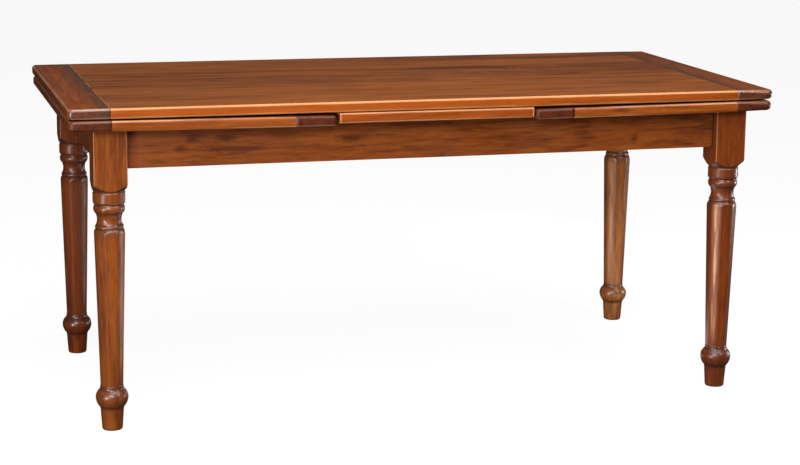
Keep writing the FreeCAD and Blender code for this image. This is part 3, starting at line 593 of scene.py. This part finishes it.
whole_top, leaf_boxes = slot_box("top_end_wood"), slot_box("leaf_end_wood")
woods = {
    "top_wood": make_wood(
        "reddish_brown_top", stain("top_wood", 1.1), edge_stains=stain("top_edge", 0.7),
        boards=0.12, fineness=0.6, heart=(0.0, 0.0, 0.4), ring_width=0.006, dashes=0.22,
        knot_share=0.05, scuffs=0.5, worn_box=whole_top, worn_amount=0.42,
        worn_stain=(238, 172, 104)),
    "top_end_wood": make_wood(
        "dark_end_boards", stain("top_end_wood"), edge_stains=stain("top_end_edge"), grain="y",
        heart=(0.0, 0.83, 0.7), ring_width=0.006, seam=SEAM, scuffs=0.6, worn_box=whole_top,
        worn_stain=(182, 140, 118), coat=0.6, seed=2.0),
    "leaf_wood": make_wood(
        "honey_leaves", stain("leaf_wood"), edge_stains=stain("leaf_edge", 0.8), boards=0.12,
        knot_spots=LEAF_KNOTS, worn_box=leaf_boxes, worn_stain=(230, 170, 124), seed=4.0),
    "leaf_end_wood": make_wood(
        "dark_leaf_ends", stain("leaf_end_wood"), edge_stains=stain("leaf_end_edge"), grain="y",
        heart=(0.0, 0.83, 0.68), worn_box=leaf_boxes, worn_amount=0.35,
        worn_stain=(170, 124, 96), coat=0.1, seed=5.0),
    "centre_wood": make_wood(
        "honey_centre", stain("centre_wood"), worn_box=slot_box("centre_wood"),
        worn_width=0.005, worn_amount=0.4, seed=6.0),
    "apron_wood": make_wood(
        "orange_brown_apron", stain("apron_wood"), heart=(0.0, -0.5, 1.2),
        knot_spots=APRON_KNOTS, joint_x=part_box("leg_front_right")[0].x, seed=7.0,
        **APRON_FIGURE),
    "end_apron": make_wood(
        "orange_brown_end_apron", stain("apron_wood"), grain="y", heart=(0.0, -0.9, 1.2),
        seed=8.0, **APRON_FIGURE),
    "bearer_wood": make_wood(
        "planed_bearers", stain("bearer_wood"), roughness=0.55, coat=0.05, seed=9.0),
    "dowel_wood": make_wood(
        "plain_dowels", stain("dowel_wood"), grain="y", roughness=0.5, coat=0.0, seed=10.0),
}
print(f"{len(woods)} wood materials, seams at {SEAM:.4f} m")

# %% [markdown]
# ## Steel screws and felt
#
# The screws are zinc plated: metal with a fine cloudy roughness. The felt pads are wool
# fibres pressed flat, so their colour is broken up and their sheen is soft.


# %% Screw and felt materials
def plain_material(name):
    """New material, its bench, the inputs of its shader, and the place of a point."""
    material = bpy.data.materials.new(name)
    material.use_nodes = True
    bench = Bench(material.node_tree)
    shader = material.node_tree.nodes["Principled BSDF"]
    return material, bench, shader.inputs, bench.add("ShaderNodeTexCoord").outputs["Object"]


steel, bench, shader, place = plain_material("zinc_screws")
cloud = bench.noise(place, 320.0, 3.0)
tint = bench.blend(cloud, screen_colour(150, 150, 152), screen_colour(196, 195, 190))
bench.feed(shader["Base Color"], tint)
bench.feed(shader["Roughness"], bench.fade(cloud, 0.3, 0.7, 0.28, 0.46))
bench.feed(shader["Metallic"], 1.0)

felt, bench, shader, place = plain_material("green_felt")
fuzz = bench.noise(place, 1800.0, 4.0, 0.7)
tint = bench.blend(fuzz, screen_colour(30, 52, 38), screen_colour(66, 96, 74))
bump = bench.add("ShaderNodeBump", {"Height": fuzz, "Strength": 0.5, "Distance": 0.0004})
bench.feed(shader["Base Color"], tint)
bench.feed(shader["Normal"], bump.outputs["Normal"])
bench.feed(shader["Roughness"], 0.95)
bench.feed(shader["Sheen Weight"], 0.4)

materials = {**woods, "screw_steel": steel, "felt": felt}
print(f"{len(materials)} materials")

# %% [markdown]
# ## Dressing the CAD nodes
#
# Each node names the material slot it belongs to, so one loop dresses them. The end aprons
# run across the table: they get the apron's wood with its grain turned. The legs' finer
# surfaces bring their own materials.

# %% Dress the CAD nodes
dressed = 0
for part in frame["record"]["subparts"]:
    slot = "end_apron" if "end_apron" in part["node"] else part["material_slot"]
    if slot in materials:
        mesh = frame["nodes"][part["node"]].data
        mesh.materials.clear()
        mesh.materials.append(materials[slot])
        dressed += 1
print("dressed", dressed, "nodes")

# %% [markdown]
# ## The turned legs
#
# A leg starts as a square post, and the lathe turns everything below the block to a
# profile. The profile was measured on the legs of the photograph and is written as a few
# steps, each reached by a straight line or by an arc, as a turner marks and cuts them.

# %% The leg's turning profile
# Height and radius of each step in millimetres, and the radius of the arc that leads to
# it: plus swells, minus hollows, 0 is straight.
TURNING = [
    (0.0, 22.6, 0), (2.5, 24.2, 0), (51.0, 27.6, 0), (55.5, 29.2, 0), (78.0, 38.5, 36.0),
    (97.0, 30.0, 25.5), (106.0, 27.6, -12.1), (471.0, 37.8, 0), (483.5, 33.0, 18.7),
    (485.5, 31.9, 0), (486.5, 32.9, 0), (493.5, 31.9, 8.0), (495.0, 30.9, 0),
    (522.0, 32.0, -33.0), (523.5, 33.8, 0), (541.0, 34.4, 15.4), (543.5, 33.6, 0),
    (545.0, 36.8, 0), (549.0, 37.9, 0), (567.0, 37.9, 0), (572.5, 36.4, 6.0),
    (575.0, 36.9, 0), (593.0, 56.0, 0), (720.0, 56.0, 0),
]
ARC_STEPS = 24


def arc_points(start, end, radius):
    """Points of an arc between two (height, radius) points: the chord plus a bulge.

    The bulge at a share t of the chord is the circle's height over it there.
    """
    start, end = np.array(start, float), np.array(end, float)
    chord = end - start
    length = np.hypot(*chord)
    outwards = np.array([-chord[1], chord[0]]) / length
    share = np.linspace(0.0, 1.0, ARC_STEPS + 1)[1:]
    deep = np.sqrt(radius ** 2 - (length / 2) ** 2)
    bulge = np.sqrt(radius ** 2 - ((share - 0.5) * length) ** 2) - deep
    return start + share[:, None] * chord + np.sign(radius) * bulge[:, None] * outwards


def turning_line():
    """Heights and radii of the whole profile as two arrays."""
    line = [np.array([TURNING[0][:2]], float)]
    for before, after in zip(TURNING[:-1], TURNING[1:]):
        if after[2]:
            line.append(arc_points(before[:2], after[:2], after[2]))
        else:
            line.append(np.array([after[:2]], float))
    return np.concatenate(line).T


profile_heights, profile_radii = turning_line()
print("profile of", len(profile_heights), "points")

# %% [markdown]
# ## The leg's surface
#
# After the lathe a plane puts eight flats on the tapered shaft. Seen from the axis, each
# of the three cuts is a distance: the profile's radius at a height, the square's distance
# at an angle, and the flats' distance at both. The wood that stays is the smallest of
# them, and a smallest that is rounded off a little gives the soft edges that sandpaper
# leaves. Wax stays in the grooves, and hands and feet rub the corners and one flat. The
# pale colour there is also a painted highlight, and on that flat painted light as well.

# %% The leg's surface
# Sizes in millimetres, angles in degrees.
LEG_HALF = 39.0
LEG_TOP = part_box("leg_front_left")[1].z / MM
SHAFT_LOW, SHAFT_HIGH = 106.0, 485.5
FLAT_LOW, FLAT_HIGH = 26.4, 35.6
SOFT_EDGE = 1.4
EIGHTH, CORNER_SPREAD = 45.0, 1.2
WAX_FADE = 1.2
ANGLE_STEP, CORNER_STEP, BESIDE_CORNER = 2.5, 22.5, 0.9
# Lowest height, highest height and step of the grid's rows.
ROW_BANDS = [(0.0, 112.0, 1.5), (112.0, 470.0, 9.0), (470.0, 600.0, 0.75)]
ROW_GAP, END_ROW = 0.2, 0.3
# Height, spread and strength of each ring where wax and dust have stayed.
WAX_RINGS = np.array([
    (1, 3, 0.6), (56, 5, 0.85), (88, 12, 0.5), (101, 7, 0.85), (106, 3, 0.8), (477, 9, 0.4),
    (485.5, 3.5, 0.95), (494.5, 3.5, 0.8), (522.8, 3, 0.7), (543.5, 3, 0.95), (573.5, 2.5, 0.9),
    (586, 11, 0.9), (530, 42, 0.28), (62, 42, 0.2),
])


def soft_smallest(first, second, softness):
    """The smaller of two distances, rounded off where they are nearly equal."""
    overlap = np.maximum(softness - np.abs(first - second), 0.0) / softness
    return np.minimum(first, second) - overlap ** 2 * softness / 4


def leg_grid():
    """Angles and heights of the leg's grid, closer together where the shape turns quickly."""
    plain, corners = np.arange(0.0, 360.0, ANGLE_STEP), np.arange(0.0, 360.0, CORNER_STEP)
    angles = np.concatenate([plain, corners, corners - BESIDE_CORNER, corners + BESIDE_CORNER])
    angles = np.unique(np.round(angles % 360.0, 4))
    heights = np.concatenate([*[np.arange(*band) for band in ROW_BANDS],
                              np.linspace(ROW_BANDS[-1][1], LEG_TOP, 7),
                              [END_ROW, LEG_TOP - END_ROW], profile_heights])
    heights = np.unique(np.round(heights[heights <= LEG_TOP], 3))
    return np.radians(angles), heights[np.concatenate([[True], np.diff(heights) > ROW_GAP])]


def leg_surface():
    """Points of one leg about its own axis, how waxed each is, and how pale from wear and a
    painted highlight.

    Radius at angle a and height h is the soft smallest of profile(h),
    half / max(|cos a|, |sin a|) and, on the shaft, flat(h) / cos(angle to the nearest flat).
    """
    angle, height = np.meshgrid(*leg_grid())
    turned = np.interp(height, profile_heights, profile_radii)
    square = LEG_HALF / np.maximum(np.abs(np.cos(angle)), np.abs(np.sin(angle)))
    radius = soft_smallest(turned, square, SOFT_EDGE)
    flat = FLAT_LOW + (height - SHAFT_LOW) * (FLAT_HIGH - FLAT_LOW) / (SHAFT_HIGH - SHAFT_LOW)
    eighth = np.radians(EIGHTH)
    from_flat = (angle + eighth / 2) % eighth - eighth / 2
    planed = soft_smallest(radius, flat / np.cos(from_flat), 2 * SOFT_EDGE)
    radius = np.where((height > SHAFT_LOW) & (height < SHAFT_HIGH), planed, radius)
    middles, spreads, strengths = WAX_RINGS.T
    rings = np.exp(-((height[..., None] - middles) / spreads) ** 2) * strengths
    on_lathe = np.clip((square - turned) / WAX_FADE + 0.4, 0.0, 1.0)
    wax = rings.max(axis=-1) * on_lathe
    # Pale block corners: wear and a painted highlight on each arris.
    from_corner = np.degrees(angle) % (2 * EIGHTH) - EIGHTH
    rub_and_sheen = np.where(turned > square, np.exp(-(from_corner / CORNER_SPREAD) ** 2), 0.0)
    points = np.stack([radius * np.cos(angle), radius * np.sin(angle), height], axis=-1) * MM
    return points, wax, rub_and_sheen


def flat_sheen_and_rub(direction, strength, fade_low=80.0, fade_high=12.0, spread=10.0):
    """Painted highlight and painted light on one flat, with some wear: a bell curve across it,
    fading out at both ends.
    """
    angles, heights = leg_grid()
    across = (np.degrees(angles) - direction + 180.0) % 360.0 - 180.0
    from_low = np.clip((heights - SHAFT_LOW) / fade_low, 0.0, 1.0)
    from_high = np.clip((SHAFT_HIGH - heights) / fade_high, 0.0, 1.0)
    return strength * (from_low * from_high)[:, None] * np.exp(-(across / spread) ** 2)


surface, wax, rub_and_sheen = leg_surface()
rows, columns = surface.shape[:2]
print(f"surface of {rows} x {columns} points, {LEG_TOP:.0f} mm high")

# %% [markdown]
# ## Four legs
# One surface serves all four legs, but each post came from another part of the plank. So
# each has a seed of its own for its figure, and one flat that is paler, from wear and a
# painted highlight.

# %% Make the legs
FIGURE_FINENESS = 2.0
# Where the heart of the tree lies beside a leg's axis, in metres.
HEART_ACROSS, HEART_ALONG = 0.02, 0.06
# Seed of each leg's figure, and the direction in degrees and strength of its pale flat: wear and
# painted highlight.
LEGS = {
    "front_left": (0.0, 315.0, 1.0),
    "front_right": (3.0, 225.0, 2.2),
    "back_right": (6.0, 225.0, 1.3),
    "back_left": (9.0, 315.0, 1.3),
}


def ring_faces(rows, columns):
    """Quads of a tube of rings, as corner numbers, facing outwards."""
    row, column = np.meshgrid(np.arange(rows - 1), np.arange(columns), indexing="ij")
    after = (column + 1) % columns
    return np.stack([row * columns + column, row * columns + after,
                     (row + 1) * columns + after, (row + 1) * columns + column],
                    axis=-1).reshape(-1, 4)


def make_piece(name, points, quads, ends=(), attributes=None):
    """Mesh object from points, quads and end polygons; only the quads are smooth."""
    mesh = bpy.data.meshes.new(name)
    faces = [face.tolist() for face in quads] + [list(end) for end in ends]
    mesh.from_pydata(points.tolist(), [], faces)
    for label, numbers in (attributes or {}).items():
        layer = mesh.attributes.new(label, "FLOAT", "POINT")
        layer.data.foreach_set("value", np.ascontiguousarray(numbers, dtype=np.float32))
    smooth = np.ones(len(mesh.polygons), bool)
    smooth[len(quads):] = False
    mesh.polygons.foreach_set("use_smooth", smooth)
    mesh.update()
    piece = bpy.data.objects.new(name, mesh)
    bpy.context.scene.collection.objects.link(piece)
    return piece


quads = ring_faces(rows, columns)
bottom = range(columns - 1, -1, -1)
top = range((rows - 1) * columns, rows * columns)
for corner, (seed, direction, strength) in LEGS.items():
    low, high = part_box(f"leg_{corner}")
    axis = np.array([(low.x + high.x) / 2, (low.y + high.y) / 2, 0.0])
    # Pale corners and one pale flat: wear and a painted highlight.
    every_rub_and_sheen = np.maximum(rub_and_sheen, flat_sheen_and_rub(direction, strength))
    piece = make_piece(f"turned_leg_{corner}", surface.reshape(-1, 3) + axis, quads, (bottom, top),
                       {"wax": wax.ravel(), "rub_and_sheen": every_rub_and_sheen.ravel()})
    heart = (0.0, float(axis[1] + HEART_ACROSS) * FIGURE_FINENESS,
             float(HEART_ALONG - axis[0]) * FIGURE_FINENESS)
    piece.data.materials.append(make_wood(
        f"turned_{corner}", stain(f"leg_{corner}"), grain="z", heart=heart, wax=True, seed=seed,
        fineness=FIGURE_FINENESS, ring_width=0.014, ring_amount=0.08, knot_share=0.12,
        cloud=0.65, relief=0.05, roughness=0.36, coat=0.4))
    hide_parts(f"leg_{corner}")
    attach(piece, "frame")
print(f"{len(LEGS)} legs")

# %% [markdown]
# ## Cross boards with soft corners
#
# Hands, chairs and hips wear the ends of a table round. The CAD model rounds each arris
# with one radius; here the radius grows along the board's edge, small at the seam, where
# it must meet the long boards, and large at the free corners. The outline of the board
# is walked from seam to seam, and at every step a quarter circle of the radius that
# belongs there leads from the upper face to the side and another to the lower face.

# %% Surface of a cross board
BOARD_HALF = 12.5
ALONG_STEPS, BEND_STEPS, ACROSS_STEPS, ARRIS_STEPS = 11, 12, 40, 8
FACE_INSET = 1.12  # the faces' own outermost row, in arris radii from the outline


def cross_board(width, half_length, corner, near_arris, far_arris):
    """Points of a board in millimetres, from its seam at x = 0 out to x = width, about z = 0.

    At outline point p with outward normal n and arris radius r the rows are
    p - n r (1 - sin f), z = half - r (1 - cos f) for f from 0 to 90 degrees, and the same below.
    """
    turn = np.radians(np.linspace(0.0, 90.0, BEND_STEPS + 1))
    along = np.linspace(0.0, width - corner, ALONG_STEPS + 1)
    side = half_length - corner
    across = np.linspace(side, -side, ACROSS_STEPS + 1)[1:-1]
    first = np.stack([along, np.full_like(along, half_length)], axis=1)
    bend = np.stack([width - corner + corner * np.sin(turn), side + corner * np.cos(turn)], axis=1)
    outer = np.stack([np.full_like(across, width), across], axis=1)
    half_outline = np.concatenate([first, bend[1:]])
    outline = np.concatenate([half_outline, outer, half_outline[::-1] * (1.0, -1.0)])
    ahead, round_part = np.zeros_like(along), turn[1:]
    angle = np.concatenate([ahead, round_part, np.full_like(across, np.pi / 2),
                            np.pi - round_part[::-1], ahead + np.pi])
    normal = np.stack([np.sin(angle), np.cos(angle)], axis=1)
    share = np.clip(outline[:, 0] / (width - corner), 0.0, 1.0)
    radius = near_arris + (far_arris - near_arris) * share ** 2 * (3.0 - 2.0 * share)
    quarter = np.radians(np.linspace(0.0, 90.0, ARRIS_STEPS + 1))
    upper = np.concatenate([[FACE_INSET], 1.0 - np.sin(quarter)])
    inset = np.concatenate([upper, upper[::-1]])
    drop = radius[:, None] * np.concatenate([[0.0], 1.0 - np.cos(quarter)])
    heights = np.concatenate([BOARD_HALF - drop, -BOARD_HALF + drop[:, ::-1]], axis=1)
    plan = outline[:, None] - normal[:, None] * (radius[:, None] * inset)[..., None]
    return np.concatenate([plan, heights[..., None]], axis=-1)


def strip_faces(columns, rows):
    """Quads of a sheet whose columns run clockwise seen from above and whose rows go down."""
    column, row = np.meshgrid(np.arange(columns - 1), np.arange(rows - 1), indexing="ij")
    corner = column * rows + row
    return np.stack([corner, corner + rows, corner + rows + 1, corner + 1], axis=-1).reshape(-1, 4)


def place_board(name, points, grid_shape, mirrored, body, slot):
    """Board that stands for a CAD node, closed with its two faces and the face at the seam."""
    columns, rows = grid_shape
    quads = strip_faces(columns, rows)
    upper = list(range(0, columns * rows, rows))[::-1]
    lower = list(range(rows - 1, columns * rows, rows))
    seam = list(range((columns - 1) * rows, columns * rows))[::-1] + list(range(rows))
    ends = [upper, lower, seam]
    if mirrored:
        quads, ends = quads[:, ::-1], [end[::-1] for end in ends]
    piece = make_piece(f"soft_{name}", points, quads, ends)
    piece.data.materials.append(woods[slot])
    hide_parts(name)
    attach(piece, body)


print(2 * (ALONG_STEPS + BEND_STEPS) + ACROSS_STEPS, "steps round a board")

# %% [markdown]
# ## The six cross boards
#
# The top and each leaf end in a cross board, and each leaf has one more at its inner end.
# A stored leaf droops a little, because its bearers are tapered, so its boards are laid
# out flat and then turned about the leaf's outer upper edge. The photograph shows the
# left corners less worn than the right ones.

# %% Place the cross boards
DROOP = np.radians(0.4)
LEAF_SET_BACK = 0.0025
# Side, corner radius and the arris radius at the free corners of each end, in millimetres.
TABLE_ENDS = {"left": (-1.0, 13.0, 7.5), "right": (1.0, 15.0, 11.5)}
INNER_CORNER, INNER_ARRIS, SEAM_ARRIS = 9.0, 7.0, 6.0
end_low, end_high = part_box("right_top_end_board")
LEAF_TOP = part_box("right_leaf_outer_board")[1].z
LEAF_OUTER = end_high.x - LEAF_SET_BACK
leaf_length = (LEAF_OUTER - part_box("right_leaf_inner_board")[0].x) / np.cos(DROOP)
half_width = end_high.y / MM
board_width = (end_high.x - SEAM) / MM
top_middle = (end_low.z + end_high.z) / 2


def in_leaf(inwards, across, up, side):
    """Points of a leaf's own frame, which droops about its outer upper edge, in the table's."""
    along = inwards * np.cos(DROOP) + up * np.sin(DROOP)
    height = up * np.cos(DROOP) - inwards * np.sin(DROOP)
    return np.stack([side * (LEAF_OUTER - along), across, LEAF_TOP + height], axis=1)


for hand, (side, corner, far_arris) in TABLE_ENDS.items():
    grid = cross_board(board_width, half_width, corner, SEAM_ARRIS, far_arris)
    x, y, z = (grid.reshape(-1, 3) * MM).T
    in_top = np.stack([side * (SEAM + x), y, top_middle + z], axis=1)
    place_board(f"{hand}_top_end_board", in_top, grid.shape[:2], side < 0, "table_top",
                "top_end_wood")
    outer = in_leaf(board_width * MM - x, y, z - BOARD_HALF * MM, side)
    place_board(f"{hand}_leaf_outer_board", outer, grid.shape[:2], side < 0, f"{hand}_leaf",
                "leaf_end_wood")
    grid = cross_board(board_width, half_width, INNER_CORNER, SEAM_ARRIS, INNER_ARRIS)
    x, y, z = (grid.reshape(-1, 3) * MM).T
    inner = in_leaf(leaf_length - board_width * MM + x, y, z - BOARD_HALF * MM, side)
    place_board(f"{hand}_leaf_inner_board", inner, grid.shape[:2], side > 0, f"{hand}_leaf",
                "leaf_end_wood")
    print(f"three cross boards at the {hand} end")

# %% [markdown]
# ## The studio
#
# The photograph was taken on white paper. A pale floor and a pale world look white to the
# camera, but give the table little light, so that the wood isn't washed out.

# %% Floor and world
FLOOR_HALF = 40.0
WHITE, FLOOR_GREY, CARPET_GREY = (1.0,) * 4, (0.1, 0.1, 0.1, 1.0), (0.06, 0.06, 0.06, 1.0)
FLOOR_GLOW, PAPER_GLOW, ROOM_GLOW = 0.93, 1.0, 0.05


def bright_to_the_camera(bench, shown, lit, output_kind):
    """The camera sees one shader, and everything that is lit or mirrored gets the other."""
    is_camera = bench.add("ShaderNodeLightPath").outputs["Is Camera Ray"]
    both = bench.add("ShaderNodeMixShader")
    for socket, thing in zip(both.inputs, (is_camera, lit.outputs[0], shown.outputs[0])):
        bench.feed(socket, thing)
    bench.add(output_kind, {"Surface": both.outputs[0]})


corners = np.array([[-1.0, -1.0, 0.0], [1.0, -1.0, 0.0], [1.0, 1.0, 0.0], [-1.0, 1.0, 0.0]])
floor = make_piece("studio_floor", corners * FLOOR_HALF, np.array([[0, 1, 2, 3]]))
floor_material = bpy.data.materials.new("pale_floor")
bench = cleared(floor_material)
pale = bench.add("ShaderNodeBsdfDiffuse", {"Color": FLOOR_GREY})
glow = bench.add("ShaderNodeEmission", {"Color": WHITE, "Strength": FLOOR_GLOW})
lit_paper = bench.add("ShaderNodeAddShader")
for socket, shader in zip(lit_paper.inputs, (pale, glow)):
    bench.feed(socket, shader.outputs[0])
carpet = bench.add("ShaderNodeBsdfDiffuse", {"Color": CARPET_GREY})
bright_to_the_camera(bench, lit_paper, carpet, "ShaderNodeOutputMaterial")
floor.data.materials.append(floor_material)

world = bpy.data.worlds.new("studio")
bench = cleared(world)
paper = bench.add("ShaderNodeBackground", {"Color": WHITE, "Strength": PAPER_GLOW})
room = bench.add("ShaderNodeBackground", {"Color": WHITE, "Strength": ROOM_GLOW})
bright_to_the_camera(bench, paper, room, "ShaderNodeOutputWorld")
bpy.context.scene.world = world
bpy.context.scene.view_settings.view_transform = "Standard"
print(f"floor of {2 * FLOOR_HALF:.0f} m")

# %% [markdown]
# ## The lights
#
# Large soft lights stand in front and overhead. Two smaller ones stand low at the sides
# for the legs, and three cards on the floor throw light upwards as white paper does. A
# lacquered face that mirrors a light towards the camera loses its colour, so the lights
# stand where only rounded edges, beads and single flats catch them.

# %% Lights
# Place, target, size in metres and power in watts of each light.
LIGHTS = {
    "high_front": ((-1.6, -4.2, 2.8), (0.0, 0.0, 0.5), (2.4, 1.5), 150.0),
    "left_front": ((-3.6, -3.8, 1.2), (0.0, 0.0, 0.4), (1.5, 1.5), 90.0),
    "overhead": ((0.2, -1.1, 3.1), (0.1, -0.3, 0.7), (3.4, 2.6), 120.0),
    "right_front": ((2.2, -3.0, 2.7), (0.0, 0.0, 0.4), (0.8, 0.8), 35.0),
    "right_strip": ((3.0, 0.05, 0.4), (0.0, 0.0, 0.3), (0.45, 0.6), 18.0),
    "left_strip": ((-3.2, -2.3, 0.38), (0.7, -0.35, 0.3), (0.5, 0.6), 38.0),
    "bounce_front": ((-0.15, -0.8, 0.01), (-0.19, -0.71, 1.0), (1.0, 0.3), 1.2),
    "bounce_back": ((1.4, 1.5, 0.01), (0.3, 0.42, 0.6), (1.2, 0.9), 9.0),
    "bounce_under": ((0.35, 0.12, 0.01), (0.35, 0.22, 1.0), (1.2, 0.8), 3.5),
}


def posed(side, above, away, place):
    """Matrix of an object whose axes X, Y and Z are given, at a place."""
    rows = np.stack([side, above, away, place], axis=1)
    return Matrix([*rows.tolist(), [0.0, 0.0, 0.0, 1.0]])


def soft_light(name, place, target, size, power):
    """Rectangular light at a place, facing a target, that the camera doesn't see."""
    lamp = bpy.data.lights.new(name, "AREA")
    lamp.shape = "RECTANGLE"
    lamp.size, lamp.size_y = size
    lamp.energy = power
    light = bpy.data.objects.new(name, lamp)
    light.visible_camera = False
    away = np.array(place) - np.array(target)
    away /= np.linalg.norm(away)
    side = np.cross((0.0, 0.0, 1.0), away)
    side /= np.linalg.norm(side)
    light.matrix_world = posed(side, np.cross(away, side), away, place)
    bpy.context.scene.collection.objects.link(light)


for name, light in LIGHTS.items():
    soft_light(name, *light)
print(f"{len(LIGHTS)} lights")

# %% [markdown]
# ## The camera
#
# The camera was found by fitting the table's corners, seams and feet to their places in
# the photograph. Its axes follow from three angles: where it looks round the table, how
# far it looks down, and a slight roll.

# %% Camera
IMAGE_WIDTH, IMAGE_HEIGHT = 800.0, 465.0
FOCAL_PIXELS = 1968.73
AXIS_PIXEL = (399.0, 185.0)
SENSOR_WIDTH = 36.0
EYE_PLACE = (-1.35975, -4.84763, 1.43035)
YAW, PITCH, ROLL = 0.27804, -0.18437, 0.01136

forward = np.array([np.sin(YAW) * np.cos(PITCH), np.cos(YAW) * np.cos(PITCH), np.sin(PITCH)])
level = np.array([np.cos(YAW), -np.sin(YAW), 0.0])
upright = np.cross(level, forward)
right = np.cos(ROLL) * level + np.sin(ROLL) * upright
above = np.cos(ROLL) * upright - np.sin(ROLL) * level
camera_data = bpy.data.cameras.new("camera")
camera_data.sensor_width = SENSOR_WIDTH
camera_data.lens = FOCAL_PIXELS / IMAGE_WIDTH * SENSOR_WIDTH
camera_data.shift_x = (IMAGE_WIDTH / 2 - AXIS_PIXEL[0]) / IMAGE_WIDTH
camera_data.shift_y = (AXIS_PIXEL[1] - IMAGE_HEIGHT / 2) / IMAGE_WIDTH
camera = bpy.data.objects.new("camera", camera_data)
camera.matrix_world = posed(right, above, -forward, EYE_PLACE)
bpy.context.scene.collection.objects.link(camera)
bpy.context.scene.camera = camera
print(f"lens {camera_data.lens:.1f} mm")
